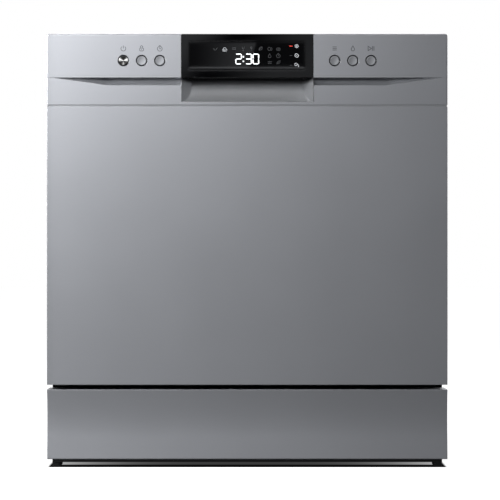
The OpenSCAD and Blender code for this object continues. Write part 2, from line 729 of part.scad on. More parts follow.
module display_bezel() color("#1b1b1d") difference() {
  slab(-bezel_w / 2 + 0.3, bezel_w / 2 - 0.3, front_y + 0.2, front_y + 7, crease_z + 0.3, body_h - 0.4);
  slab(window_x0, window_x1, front_y - 1, front_y + 3, window_z0, window_z1);
  slab(window_x0 + 3, window_x1 - 3, front_y, front_y + 8, window_z0 + 3, window_z1 - 3);
}

module display_glass() color("#101114")
  slab(window_x0 + 0.2, window_x1 - 0.2, front_y + 0.6, front_y + 2.8, window_z0 + 0.2, window_z1 - 0.2);

module control_board() color("#2f5d3a") {
  board_y = front_y + 14;
  slab(-178, 178, board_y, board_y + 1.6, crease_z + 14, body_h - 11);
  slab(-52, 52, front_y + 3.2, board_y + e, crease_z + 17, body_h - 14);
  for (x = cap_xs) {
    slab(x - 3.5, x + 3.5, board_y - 3, board_y + e, cap_z - 3.5, cap_z + 3.5);
    rod_y(board_y - 3.6, board_y - 3 + e, x, cap_z, 3.4);
  }
  for (x = [-90, 92]) slab(x - 8, x + 8, board_y + 1.6 - e, board_y + 8, body_h - 28, body_h - 18);
}

// Cap, retaining flange behind the fascia wall, and the stem that presses the switch.
module push_button(n) {
  x = cap_xs[n];
  rod_y(front_y + 0.3, front_y + 6, x, cap_z, cap_d);
  rod_y(front_y + shell_t + 0.4, front_y + shell_t + 1.9, x, cap_z, cap_hole_d + 2);
  rod_y(front_y + 6 - e, front_y + 8.6, x, cap_z, 4);
}

module power_button() color("#d8d9da") push_button(0);

module lock_button() color("#9c9ea2") push_button(1);

module delay_button() color("#9c9ea2") push_button(2);

module program_button() color("#9c9ea2") push_button(3);

module function_button() color("#9c9ea2") push_button(4);

module start_button() color("#9c9ea2") push_button(5);

module door_latch() color("#c9cacb") {
  slab(-22, 22, liner_y - 14, liner_y - 1.2, crease_z + 16, body_h - 8);
  difference() {
    slab(-7, 7, liner_y - 1.2 - e, liner_y + 18, body_h - 13.5, body_h - 8.5);
    slab(-4.5, 4.5, liner_y + 10, liner_y + 15, body_h - 14, body_h - 8);
  }
}

// ---- detergent dispenser ----

lid_x0 = -70;
lid_x1 = -4;
lid_z0 = dose_z - 18;
lid_z1 = dose_z + 46;
cap_pos = [38, dose_z + 8];

module dispenser() color("#cfd2d3") difference() {
  union() {
    rounded_slab(-78, 78, liner_y - 20, liner_y + 2.2, dose_z - 82, dose_z + 50, 8);
    for (x = [lid_x0 - 3.3, lid_x1 + 0.3]) slab(x, x + 3, liner_y + 2.2 - e, liner_y + 5, dose_z - 76, dose_z + 46);
  }
  slab(lid_x0 + 5, lid_x1 - 5, liner_y - 16, liner_y + 3, lid_z0 + 5, lid_z1 - 5);
  rod_y(liner_y - 8, liner_y + 3, cap_pos[0], cap_pos[1], 24.1);
  rod_y(liner_y - 1, liner_y + 3, cap_pos[0], dose_z - 40, 12);
}

// Box with its edges along Y rounded.
module rounded_slab(x0, x1, y0, y1, z0, z1, r)
  translate([(x0 + x1) / 2, y1, (z0 + z1) / 2]) rotate([90, 0, 0]) linear_extrude(y1 - y0) rounded(x1 - x0, z1 - z0, r);

module dispenser_lid() color("#dfe2e3") {
  rounded_slab(lid_x0, lid_x1, liner_y + 2.5, liner_y + 4.5, lid_z0, lid_z1, 2);
  slab(lid_x0 + 12, lid_x1 - 12, liner_y + 4.5 - e, liner_y + 6, lid_z0 + 6, lid_z0 + 9);
}

module rinse_cap() color("#3d72a8") {
  rod_y(liner_y - 7, liner_y + 2.5, cap_pos[0], cap_pos[1], 24);
  rod_y(liner_y + 2.5 - e, liner_y + 5, cap_pos[0], cap_pos[1], 36);
  slab(cap_pos[0] - 15, cap_pos[0] + 15, liner_y + 5 - e, liner_y + 9, cap_pos[1] - 3, cap_pos[1] + 3);
}

feet();
base_tray();
kick_panel();
side_panel_left();
side_panel_right();
top_cover();
rear_panel();
rear_screws();
tub_wrapper();
tub_back();
tub_floor();
door_seal();
latch_striker();
rail_guides();
hinge_brackets();
hinge_springs();
sump();
wash_pump();
drain_pump();
heater();
water_softener();
inlet_valve();
drain_outlet();
cable_gland();
water_duct();
filter_plate();
filter_cup();
salt_cap();
float_cup();
lower_spray_arm();
upper_spray_arm();
rack_feed_pipe();
upper_rack();
rack_rails();
cup_shelf();
lower_rack();
folding_tines();
cutlery_basket();
wheel_front_left();
wheel_front_right();
wheel_rear_left();
wheel_rear_right();
door_outer_panel();
door_inner_liner();
hinge_arms();
fascia();
handle_pocket();
display_bezel();
display_glass();
control_board();
power_button();
lock_button();
delay_button();
program_button();
function_button();
start_button();
door_latch();
dispenser();
dispenser_lid();
rinse_cap();
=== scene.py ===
# %% [markdown]
# # A countertop dishwasher
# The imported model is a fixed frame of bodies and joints. This notebook gives it its looks, piece by piece:
# a satin silver door over a black base, a gloss-black display, and a stainless tub with two wire racks
# inside. Everything is in the frame's own axes, with -Y out of the door, and every new piece rides on a
# body of the frame.

# %% Load the frame
import json
import math
import bmesh
import bpy
from mathutils import Matrix, Vector


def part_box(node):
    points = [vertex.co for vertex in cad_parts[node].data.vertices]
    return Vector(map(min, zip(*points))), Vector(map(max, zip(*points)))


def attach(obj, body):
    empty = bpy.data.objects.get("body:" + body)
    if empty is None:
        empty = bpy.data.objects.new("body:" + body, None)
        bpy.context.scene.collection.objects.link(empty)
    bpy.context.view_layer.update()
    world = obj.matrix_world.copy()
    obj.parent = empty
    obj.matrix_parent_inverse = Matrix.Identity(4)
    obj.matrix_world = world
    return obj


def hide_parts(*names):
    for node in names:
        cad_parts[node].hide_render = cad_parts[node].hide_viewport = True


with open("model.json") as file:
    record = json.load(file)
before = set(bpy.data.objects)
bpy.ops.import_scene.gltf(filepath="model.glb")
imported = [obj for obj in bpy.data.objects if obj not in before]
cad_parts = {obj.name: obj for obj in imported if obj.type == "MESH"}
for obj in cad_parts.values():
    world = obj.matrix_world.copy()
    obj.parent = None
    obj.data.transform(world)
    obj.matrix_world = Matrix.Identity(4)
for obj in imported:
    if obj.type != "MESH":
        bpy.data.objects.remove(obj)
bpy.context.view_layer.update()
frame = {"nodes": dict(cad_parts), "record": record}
MM = 0.001

# %% [markdown]
# ## Camera
# The machine is seen dead level and square on, so its sides and top don't show. A long lens does this best:
# from 2.75 m away the cabinet behind the door looks only a little smaller than the door itself.
# The lens is worked out from the width that the frame has to hold at the door's face.

# %% Set the camera
camera_distance = 2.75
camera_x = 0.0038
camera_z = 0.298
frame_width = 0.6862
sensor_width = 36
front_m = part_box("door_outer_panel")[0].y
camera_data = bpy.data.cameras.new("camera")
camera_data.sensor_width = sensor_width
camera_data.lens = sensor_width * camera_distance / frame_width
camera = bpy.data.objects.new("camera", camera_data)
camera.location = (camera_x, front_m - camera_distance, camera_z)
camera.rotation_euler = (math.pi / 2, 0, 0)
bpy.context.scene.collection.objects.link(camera)
bpy.context.scene.camera = camera
print("lens in mm:", round(camera_data.lens, 1))

# %% [markdown]
# ## Colours and shader nodes
# Paint chips and screens give colours as sRGB hex codes, but a shader adds light in linear values,
# so one function turns the first into the second. A second small function adds any shader node. Each of its
# inputs is a plain value, the output socket of another node, or a node, which stands for its first output.

# %% Define the colour and node helpers
def colour(code):
    values = [int(code[i:i + 2], 16) / 255 for i in (1, 3, 5)]
    return (*[v / 12.92 if v <= 0.04045 else ((v + 0.055) / 1.055) ** 2.4 for v in values], 1.0)


def add(tree, kind, inputs=None, **settings):
    node = tree.nodes.new("ShaderNode" + kind)
    for name, value in settings.items():
        setattr(node, name, value)
    for name, value in (inputs or {}).items():
        if isinstance(value, bpy.types.Node):
            value = value.outputs[0]
        if isinstance(value, bpy.types.NodeSocket):
            tree.links.new(value, node.inputs[name])
        else:
            node.inputs[name].default_value = value
    return node


def per_metre(size_mm):
    return 1000 / size_mm


def new_tree(name):
    material = bpy.data.materials.new(name)
    material.use_nodes = True
    material.node_tree.nodes.clear()
    return material, material.node_tree


print("mid grey #808080 is", round(colour("#808080")[0], 3), "in linear light")

# %% [markdown]
# ## Two patterns that most finishes share
# A moulded or painted surface is never quite even: it has a slow wander of tone and a fine grain. `grained`
# makes both from two noises whose sizes are given in millimetres. The fine one also feeds a Bump node.
# Stretching the grain along one axis turns the same recipe into brushed or rolled metal.

# %% Define the grained surface
def grained(name, code, metallic, roughness, grain_mm, depth_mm, stretch=(1, 1, 1),
            tone=0.04, rough_spread=0.05, wander_mm=90, **shader_inputs):
    material, tree = new_tree(name)
    place = add(tree, "TexCoord").outputs["Object"]
    stretched = add(tree, "Mapping", {"Vector": place, "Scale": tuple(1 / s for s in stretch)})
    grain = add(tree, "TexNoise", {"Vector": stretched, "Scale": per_metre(grain_mm), "Detail": 2.0})
    wander = add(tree, "TexNoise", {"Vector": place, "Scale": per_metre(wander_mm), "Detail": 1.0})
    both = add(tree, "Math", {0: grain, 1: wander}, operation="ADD")
    base = colour(code)
    dark = tuple(c * (1 - tone) for c in base[:3]) + (1,)
    light = tuple(min(1, c * (1 + tone)) for c in base[:3]) + (1,)
    share = add(tree, "MapRange", {"Value": both, "From Min": 0.6, "From Max": 1.4})
    tint = add(tree, "Mix", {0: share, 6: dark, 7: light}, data_type="RGBA")
    rough = add(tree, "MapRange", {"Value": both, "From Min": 0.6, "From Max": 1.4,
                                   "To Min": roughness - rough_spread, "To Max": roughness + rough_spread})
    bump = add(tree, "Bump", {"Height": grain, "Distance": depth_mm * MM, "Strength": 1.0})
    shader = add(tree, "BsdfPrincipled", {"Base Color": tint.outputs[2], "Metallic": metallic,
                                          "Roughness": rough, "Normal": bump, **shader_inputs})
    add(tree, "OutputMaterial", {"Surface": shader})
    return material


print("a grain of 0.5 mm is a noise scale of", per_metre(0.5))

# %% [markdown]
# ## The silver of the machine
# Door, fascia and kick panel are one colour family: coil-coated steel sheet for the two panels, and an ABS
# moulding sprayed with metallic lacquer for the fascia. The casing is powder-coated. Bare brushed steel
# would give sharp streaks, so the panels are made as paint with a metallic share instead. The paint's flake
# is too fine to show, so its grain is drawn at 0.7 mm along the rolling direction.

# %% Make the silver finishes
# Aluminium flake under a clear coat: a soft sheen that falls off from the side where the light stands.
silver_sheet = grained("coil_coated_steel", "#8E9095", 0.35, 0.42, 0.7, 0.0015, stretch=(14, 1, 1),
                       tone=0.015, rough_spread=0.02)
# Sprayed lacquer: the same sheen as the sheet, but with a round grain, so it looks moulded and not rolled.
silver_lacquer = grained("metallic_lacquer_on_abs", "#8E9095", 0.35, 0.42, 0.8, 0.001,
                         tone=0.015, rough_spread=0.02)
# Baked powder: a slight orange peel that breaks every highlight up, so the casing looks plainer than the
# door.
powder_coat = grained("silver_powder_coat", "#808287", 0.45, 0.5, 1.6, 0.012, tone=0.02, rough_spread=0.04)
# Satin lacquer on the small caps: a shade darker than the fascia, so that they read as separate parts.
button_lacquer = grained("satin_lacquer_on_abs", "#85878B", 0.35, 0.46, 0.5, 0.001, tone=0.02)
print("silver finishes:", silver_sheet.name, silver_lacquer.name, powder_coat.name, button_lacquer.name)

# %% [markdown]
# ## Rolled and plated metals
# The tub and the door's liner are rolled stainless steel. Screws and springs are plated with bright zinc.
# Both are the grained recipe at full metallic, with the default IOR. Rolling stretches the grain thirty
# times.

# %% Make the rolled and plated metals
# Cold-rolled and lightly brushed: bright, with a fine horizontal grain and a broad highlight across it.
stainless = grained("rolled_stainless_steel", "#C6C7C8", 1.0, 0.34, 0.5, 0.002, stretch=(30, 1, 1),
                    tone=0.02, rough_spread=0.02, wander_mm=260)
# Electroplated zinc: small, hard, almost white highlights.
bright_zinc = grained("bright_zinc_plate", "#C9CACB", 1.0, 0.25, 0.6, 0.003, tone=0.05)
print("metals:", stainless.name, bright_zinc.name)

# %% [markdown]
# ## Galvanised sheet
# The rear panel and the brackets are hot-dipped in zinc, which freezes into crystals. Each crystal turns
# the light its own way, so the sheet shows faint patches about 8 mm across. A Voronoi texture gives every
# patch one tone and one roughness of its own.

# %% Make the galvanised sheet
def zinc_sheet(crystal_mm):
    material, tree = new_tree("galvanised_steel")
    place = add(tree, "TexCoord").outputs["Object"]
    crystals = add(tree, "TexVoronoi", {"Vector": place, "Scale": per_metre(crystal_mm), "Randomness": 1.0})
    tone = add(tree, "SeparateColor", {"Color": crystals.outputs["Color"]})
    tint = add(tree, "Mix", {0: tone, 6: colour("#A3A6A9"), 7: colour("#B7B9BB")}, data_type="RGBA")
    rough = add(tree, "MapRange", {"Value": tone.outputs[1], "To Min": 0.38, "To Max": 0.5})
    shader = add(tree, "BsdfPrincipled", {"Base Color": tint.outputs[2], "Metallic": 1.0,
                                          "Roughness": rough})
    add(tree, "OutputMaterial", {"Surface": shader})
    return material


# Spangled zinc: a patchwork of slightly lighter and darker greys, dull beside the bright plate.
galvanised = zinc_sheet(8)
print("crystals per metre:", per_metre(8))

# %% [markdown]
# ## The spun face of the power button
# The power button is turned metal. The lathe leaves rings round its centre, and rings like these stretch
# every highlight into a fan of light. Anisotropy about the button's axis does that for one lamp, but a real
# room has many, so three soft fans of painted highlight are also painted into the metal's colour, by the
# angle about the button's centre. A sine wave of the radius gives the rings themselves. Real ones are finer,
# but wouldn't show.

# %% Make the spun metal
spun_ring_mm = 0.35
# angle, sharpness and strength of each fan of painted highlight
painted_highlight_fans = ((17, 14, 0.9), (163, 14, 0.9), (270, 30, 0.12))


def painted_highlight_fan(tree, angle, towards, sharpness, strength):
    turned_by = add(tree, "Math", {0: angle, 1: math.radians(towards)}, operation="SUBTRACT")
    facing = add(tree, "Math", {0: turned_by}, operation="COSINE")
    front_half = add(tree, "Math", {0: facing, 1: 0.0}, operation="MAXIMUM")
    narrow = add(tree, "Math", {0: front_half, 1: sharpness}, operation="POWER")
    return add(tree, "Math", {0: narrow, 1: strength}, operation="MULTIPLY")


def spun_metal(centre):
    material, tree = new_tree("spun_aluminium")
    place = add(tree, "TexCoord").outputs["Object"]
    from_centre = add(tree, "VectorMath", {0: place, 1: centre}, operation="SUBTRACT")
    flat = add(tree, "VectorMath", {0: from_centre, 1: (1, 0, 1)}, operation="MULTIPLY")
    radius = add(tree, "VectorMath", {0: flat}, operation="LENGTH").outputs["Value"]
    phase = add(tree, "Math", {0: radius, 1: 2 * math.pi * per_metre(spun_ring_mm)}, operation="MULTIPLY")
    rings = add(tree, "Math", {0: phase}, operation="SINE")
    bump = add(tree, "Bump", {"Height": rings, "Distance": 0.001 * MM, "Strength": 0.5})
    axes = add(tree, "SeparateXYZ", {0: flat})
    angle = add(tree, "Math", {0: axes.outputs[2], 1: axes.outputs[0]}, operation="ARCTAN2")
    # the metal's dark grey, with fans of painted highlight added by angle
    tone = 0.02
    for towards, sharpness, strength in painted_highlight_fans:
        fan = painted_highlight_fan(tree, angle, towards, sharpness, strength)
        tone = add(tree, "Math", {0: tone, 1: fan}, operation="ADD")
    grey = add(tree, "CombineColor", {0: tone, 1: tone, 2: tone})
    tangent = add(tree, "Tangent", direction_type="RADIAL", axis="Y")
    # Spun aluminium: dark metal with bright fans of painted highlight from its centre, the way a coin's or a
    # pan's base catches light.
    shader = add(tree, "BsdfPrincipled", {
        "Base Color": grey, "Metallic": 1.0, "Roughness": 0.3, "Anisotropic": 0.6,
        "Anisotropic Rotation": 0.25, "Tangent": tangent, "Normal": bump})
    add(tree, "OutputMaterial", {"Surface": shader})
    return material


print("ring pitch in mm:", spun_ring_mm, "with", len(painted_highlight_fans), "fans of light")

# %% [markdown]
# ## Mouldings outside
# The bezel and the base are ABS. A mould for it is either polished, which gives gloss, or spark-eroded,
# which gives an even grain of about 0.6 mm. Gloss needs a very low roughness and hardly any spread, or the
# black would mirror the pale room as a grey haze.

# %% Make the outside plastics
# Spark-eroded mould: a dull even black that hides dust and finger marks.
base_abs = grained("spark_eroded_black_abs", "#0E0F10", 0.0, 0.6, 0.6, 0.02, tone=0.12,
                   **{"Specular IOR Level": 0.25})
# Unpainted moulding in a soft dark grey, seen only in the gap round each button; its darkness is partly
# its own grey and partly painted shade for that gap.
stem_abs = grained("dark_grey_abs", "#2C2D30", 0.0, 0.5, 0.6, 0.004, tone=0.05)
# Polished mould: a mirror of the room in black, with a thin bright line on every edge.
piano_black = grained("polished_black_abs", "#040405", 0.0, 0.03, 0.4, 0.0, tone=0.05, rough_spread=0.005)
# Smoked acrylic sheet: black until something behind it lights up, and a little less bright a mirror than
# the frame.
window_glass = grained("smoked_acrylic", "#050506", 0.0, 0.03, 0.4, 0.0, tone=0.05, rough_spread=0.005,
                       **{"Specular IOR Level": 0.35})
# Silver-sprayed ABS, painted lighter than the door to make up for the shade of the display that it lies in.
pocket_abs = grained("satin_silver_abs", "#D0D2D6", 0.25, 0.4, 0.5, 0.004, tone=0.06)
# Screen ink: a flat dark grey, dull beside the lacquer that it is printed on.
legend_ink = grained("screen_printed_grey_ink", "#4C4E54", 0.0, 0.6, 0.3, 0.0, tone=0.03)
print("outside plastics:", base_abs.name, piano_black.name, window_glass.name, pocket_abs.name)

# %% [markdown]
# ## Rubber and elastomer
# The door seal and the feet are EPDM rubber, pressed in a blasted mould. The strip in the seam is a softer
# grade in grey. Rubber has no gloss to speak of, so its specular level is low and its roughness high.

# %% Make the rubbers
# Vulcanised rubber: dull and slightly dusty, with no clear highlight.
rubber = grained("epdm_rubber", "#161718", 0.0, 0.8, 0.9, 0.02, tone=0.15, **{"Specular IOR Level": 0.2})
# Extruded elastomer: a matt grey line between two satin parts.
seam_grey = grained("soft_grey_elastomer", "#87898D", 0.0, 0.6, 0.8, 0.006, tone=0.05)
print("rubbers:", rubber.name, seam_grey.name)

# %% [markdown]
# ## Plastics inside
# Everything in the tub stands hot water and detergent, so it is polypropylene, from a finely blasted mould.
# Rack wires are steel dipped in grey nylon, the wheels are acetal, and the control board is coated glass
# fibre.

# %% Make the inside plastics
# Moulded polypropylene looks a little waxy: soft highlights with blurred edges, in grey, white and blue.
grey_pp = grained("moulded_grey_polypropylene", "#9A9C9F", 0.0, 0.42, 0.8, 0.01, tone=0.05)
white_pp = grained("moulded_white_polypropylene", "#D4D4CF", 0.0, 0.45, 0.9, 0.01, tone=0.04)
basket_pp = grained("moulded_basket_polypropylene", "#8F9295", 0.0, 0.4, 0.7, 0.008, tone=0.05)
blue_pp = grained("moulded_blue_polypropylene", "#2F5F9A", 0.0, 0.4, 0.7, 0.006, tone=0.05)
# Dip-coated wire: evenly satin, with a faint second highlight from the smooth skin of the coat.
nylon_wire = grained("nylon_coated_wire", "#A9ADB1", 0.0, 0.36, 1.2, 0.02, tone=0.05, **{"Coat Weight": 0.2})
# Acetal: dense, white and smoother than polypropylene, so its highlights are tighter.
acetal = grained("white_acetal", "#C9CBCC", 0.0, 0.3, 0.8, 0.004, tone=0.03)
# Solder mask: green lacquer that dips and rises over the tracks below it.
solder_mask = grained("green_solder_mask", "#1F5A34", 0.0, 0.3, 2.5, 0.01, tone=0.2)
print("materials so far:", len(bpy.data.materials))

# %% [markdown]
# ## Light from the display
# The segments of a light-emitting display look flat and even, so they are plain emission over a pale print.
# White ones are lit. Dark grey ones are unlit, with a faint painted glow, and only just show through the
# smoked window. One mark is red.

# %% Make the display inks
def glowing(name, code, strength):
    material, tree = new_tree(name)
    shader = add(tree, "BsdfPrincipled", {"Base Color": colour(code), "Roughness": 0.4,
                                          "Emission Color": colour(code), "Emission Strength": strength})
    add(tree, "OutputMaterial", {"Surface": shader})
    return material


# Lit segments: even light without a highlight, so they seem to float behind the window.
lit_white = glowing("lit_white_segment", "#F2F6F8", 0.85)
lit_red = glowing("lit_red_mark", "#D83828", 0.65)
soft_white = glowing("soft_white_mark", "#B9BCC0", 0.4)
# Unlit segments: a print that is barely lighter than the window in front of it, with a faint painted glow.
unlit_grey_faint_glow = glowing("unlit_segment_faint_glow", "#26282C", 0.03)
print("display inks:", lit_white.name, lit_red.name, soft_white.name, unlit_grey_faint_glow.name)

# %% [markdown]
# ## Give each part of the frame its finish
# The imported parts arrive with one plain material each. Their shapes are exact, so most of them only need
# the right finish, which is put into the part's own material slot.

# %% Dress the frame
finishes = {
    rubber: ["feet", "door_seal"],
    base_abs: ["base_tray", "cable_gland", "wash_pump"],
    silver_sheet: ["kick_panel", "door_outer_panel"],
    powder_coat: ["side_panel_left", "side_panel_right", "top_cover"],
    galvanised: ["rear_panel", "hinge_brackets", "hinge_arms"],
    bright_zinc: ["rear_screws", "hinge_springs"],
    stainless: ["tub_wrapper", "tub_back", "tub_floor", "door_inner_liner", "filter_plate", "heater"],
    grey_pp: ["lower_spray_arm", "upper_spray_arm", "rack_feed_pipe", "filter_cup", "dispenser", "salt_cap",
              "rack_rails", "water_duct", "rail_guides", "drain_outlet"],
    white_pp: ["sump", "water_softener", "inlet_valve", "drain_pump", "float_cup", "latch_striker",
               "door_latch", "dispenser_lid"],
    nylon_wire: ["upper_rack", "lower_rack", "folding_tines", "cup_shelf"],
    basket_pp: ["cutlery_basket"],
    acetal: ["wheel_front_left", "wheel_front_right", "wheel_rear_left", "wheel_rear_right"],
    blue_pp: ["rinse_cap"],
    silver_lacquer: ["fascia"],
    pocket_abs: ["handle_pocket"],
    piano_black: ["display_bezel"],
    window_glass: ["display_glass"],
    solder_mask: ["control_board"],
    button_lacquer: ["lock_button", "delay_button", "program_button", "function_button", "start_button"],
}
power_low, power_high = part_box("power_button")
finishes[spun_metal((power_low + power_high) / 2)] = ["power_button"]
for finish, names in finishes.items():
    for name in names:
        frame["nodes"][name].data.materials.clear()
        frame["nodes"][name].data.materials.append(finish)
print("parts dressed:", sum(len(names) for names in finishes.values()), "of", len(frame["nodes"]))

# %% [markdown]
# ## Putting a piece into the frame
# A new piece is built as a mesh in bmesh. `make_piece` turns it into an object: it merges doubled points,
# shades it smooth but for sharp edges, and keeps flat faces flat with weighted normals. Then it says which
# body of the frame the piece rides on, and which imported parts it replaces.

# %% Define the piece helpers
def make_piece(name, mesh, finish, body, stands_for=(), smooth_below=35, tidy=True):
    if tidy:
        bmesh.ops.remove_doubles(mesh, verts=mesh.verts, dist=0.002 * MM)
        bmesh.ops.recalc_face_normals(mesh, faces=mesh.faces)
    data = bpy.data.meshes.new(name)
    mesh.to_mesh(data)
    mesh.free()
    data.polygons.foreach_set("use_smooth", [True] * len(data.polygons))
    data.set_sharp_from_angle(angle=math.radians(smooth_below))
    data.materials.append(finish)
    made = bpy.data.objects.new(name, data)
    bpy.context.scene.collection.objects.link(made)
    made.modifiers.new("flat_faces_stay_flat", "WEIGHTED_NORMAL").keep_sharp = True
    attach(made, body)
    if stands_for:
        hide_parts(*stands_for)


def body_of(node):
    return next(body for body, nodes in frame["record"]["behaviour"]["bodies"].items() if node in nodes)


def slot_of(node):
    return next(part["material_slot"] for part in frame["record"]["subparts"] if part["node"] == node)


def finish_of(node):
    return next(finish for finish, names in finishes.items() if node in names)


def corner_mm(node):
    low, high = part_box(node)
    return [v / MM for v in low], [v / MM for v in high]


print("the fascia rides on", body_of("fascia"), "and has the slot", slot_of("fascia"))

# %% [markdown]
# ## Measure the front
# Everything on the front is placed from the imported parts themselves, in millimetres, so a new piece can't
# miss the part that it stands for. Only the crease and the scoop, which no box can give, are measured.

# %% Measure the front
fascia_low, fascia_high = corner_mm("fascia")
bezel_low, bezel_high = corner_mm("display_bezel")
window_low, window_high = corner_mm("display_glass")
pocket_low, pocket_high = corner_mm("handle_pocket")
front_y = fascia_low[1]
half_w = fascia_high[0]
fascia_z0 = fascia_low[2]
top_z = fascia_high[2]
pan_y = fascia_high[1]
button_nodes = ["power_button", "lock_button", "delay_button", "program_button", "function_button",
                "start_button"]
button_boxes = [corner_mm(name) for name in button_nodes]
button_xs = [(low[0] + high[0]) / 2 for low, high in button_boxes]
button_z = (button_boxes[0][0][2] + button_boxes[0][1][2]) / 2
crease_z = 534.6
scoop_d = 11
scoop_h = 10.6
scoop_full_x = 190
scoop_tip_x = 269
shell_t = 2.2
corner_r = 3
skin_y = front_y + 0.05
print("fascia from", round(fascia_z0, 1), "to", round(top_z, 1), "mm")
print("buttons at", [round(x) for x in button_xs], "mm")

# %% [markdown]
# ## Mouldings from sections
# A long moulding is the same section pushed along a line, with slow changes. `lofted` joins a row of
# sections with faces and caps both ends. `arc` and `mixed` give the points and steps that sections are made
# of.

# %% Define the loft
def arc(cx, cy, r, start, end, count):
    angles = [math.radians(start + (end - start) * i / count) for i in range(count + 1)]
    return [(cx + r * math.cos(a), cy + r * math.sin(a)) for a in angles]


def mixed(a, b, t):
    return a + (b - a) * t


def lofted(sections, capped=True, mesh=None):
    mesh = mesh or bmesh.new()
    rings = [[mesh.verts.new(Vector(p) * MM) for p in section] for section in sections]
    count = len(rings[0])
    for one, two in zip(rings, rings[1:]):
        for i in range(count):
            k = (i + 1) % count
            mesh.faces.new((one[i], one[k], two[k], two[i]))
    if capped:
        mesh.faces.new(rings[0][::-1])
        mesh.faces.new(rings[-1])
    return mesh


print("a corner of", corner_r, "mm is drawn with", len(arc(0, 0, corner_r, 180, 90, 8)), "points")

# %% [markdown]
# ## Turned shapes
# A lathe spins the work while the tool follows a profile. `turned` does the same with a profile of radius
# and height, round the axis and at the place that it is given. A closed profile makes a ring with a hole.

# %% Define the lathe
def turned(profile, place, axis="Y", count=48, closed=False):
    mesh = bmesh.new()
    turns = {"X": Matrix.Rotation(math.pi / 2, 4, "Y"), "Y": Matrix.Rotation(-math.pi / 2, 4, "X"),
             "Z": Matrix()}
    move = Matrix.Translation(Vector(place)) @ turns[axis]
    circle = [2 * math.pi * i / count for i in range(count)]
    rings = []
    for radius, height in profile:
        rim = radius * MM
        if radius == 0:
            rings.append([mesh.verts.new(move @ Vector((0, 0, height * MM)))])
        else:
            rings.append([mesh.verts.new(move @ Vector((rim * math.cos(a), rim * math.sin(a), height * MM)))
                          for a in circle])
    for one, two in zip(rings, rings[1:] + rings[:1] if closed else rings[1:]):
        for i in range(count):
            corners = [one[i % len(one)], one[(i + 1) % len(one)],
                       two[(i + 1) % len(two)], two[i % len(two)]]
            corners = list(dict.fromkeys(corners))
            if len(corners) > 2:
                mesh.faces.new(corners)
    return mesh


print("a turned edge is drawn with a facet every", 360 / 48, "degrees")

# %% [markdown]
# ## Blocks, cuts and joins
# Holes and hollows are cut with Boolean modifiers, as a mill or a mould's core would. `carved` takes one
# solid and a list of cutters and gives back what is left. `box_mesh` makes a block with rounded edges, and
# `joined` puts several meshes into one.

# %% Define blocks, cuts and joins
def box_mesh(low, high, edge, steps=2):
    mesh = bmesh.new()
    for v in bmesh.ops.create_cube(mesh, size=1)["verts"]:
        v.co = Vector([(low[i] + high[i]) / 2 + v.co[i] * (high[i] - low[i]) for i in range(3)]) * MM
    if edge:
        bmesh.ops.bevel(mesh, geom=mesh.edges[:], offset=edge * MM, segments=steps, profile=0.5,
                        affect="EDGES")
    return mesh


def carved(solid, cutters):
    holders = []
    for i, mesh in enumerate([solid] + cutters):
        bmesh.ops.recalc_face_normals(mesh, faces=mesh.faces)
        data = bpy.data.meshes.new("carving_%d" % i)
        mesh.to_mesh(data)
        mesh.free()
        holders.append(bpy.data.objects.new(data.name, data))
        bpy.context.scene.collection.objects.link(holders[-1])
    for cutter in holders[1:]:
        step = holders[0].modifiers.new(cutter.name, "BOOLEAN")
        step.operation = "DIFFERENCE"
        step.solver = "EXACT"
        step.object = cutter
    whole = holders[0].evaluated_get(bpy.context.evaluated_depsgraph_get())
    result = bmesh.new()
    result.from_mesh(bpy.data.meshes.new_from_object(whole))
    for holder in holders:
        bpy.data.objects.remove(holder)
    return result


def joined(mesh, parts):
    for part in parts:
        data = bpy.data.meshes.new("joined_part")
        part.to_mesh(data)
        part.free()
        mesh.from_mesh(data)
    return mesh


print("blocks, cuts and joins are ready for a front of", round(2 * half_w), "mm")

# %% [markdown]
# ## The fascia and its finger scoop
# The fascia is one long moulding with a crease across it. Under the crease a cove sinks 11 mm deep and
# comes forward again within 11 mm, and towards both ends the scoop runs out to a point. A Boolean would
# leave that point ragged, so a row of cross-sections, each with its own scoop depth, is lofted from end to
# end instead.

# %% Draw the fascia's sections
cove_steps = 12
end_r = 1


def scoop_share(x):
    s = max(0.0, min(1.0, (scoop_tip_x - abs(x)) / (scoop_tip_x - scoop_full_x)))
    return s if s < 0.85 else 0.85 + 0.15 * math.sin((s - 0.85) / 0.15 * math.pi / 2) ** 0.8


def round_the_end(y, x):
    edge = max(0.0, abs(x) - (half_w - end_r))
    return y + end_r - math.sqrt(max(0.0, end_r ** 2 - edge ** 2))


def fascia_section(x):
    share = scoop_share(x)
    over = max(0.0, abs(x) - (half_w - corner_r))
    top = top_z - corner_r + math.sqrt(max(0.0, corner_r ** 2 - over ** 2))
    y0 = round_the_end(skin_y, x)
    points = [(pan_y, fascia_z0), (y0 + 0.8, fascia_z0), (y0 + 0.25, fascia_z0 + 0.25),
              (y0, fascia_z0 + 0.8)]
    for i in range(cove_steps + 1):
        turn = math.radians(90 * (1 - i / cove_steps))
        points.append((y0 + scoop_d * share * math.cos(turn),
                       crease_z - (scoop_h * share + 0.02) * math.sin(turn)))
    points += [(y0 + 0.35, crease_z + 0.02), (y0 + 0.1, crease_z + 0.12), (y0, crease_z + 0.4)]
    points += arc(y0 + corner_r, top - corner_r, corner_r, 180, 90, 8)
    points.append((pan_y, top))
    return [(x, y, z) for y, z in points]


print("scoop depth in mm at x = 0, 230 and 260:",
      [round(scoop_d * scoop_share(x), 1) for x in (0, 230, 260)])

# %% [markdown]
# ## Cut the fascia
# The lofted solid is hollowed from behind to a wall of 2.2 mm. The notch for the display and the six button
# holes are then cut through it, and each hole gets a small chamfer that catches the light on its lower side.

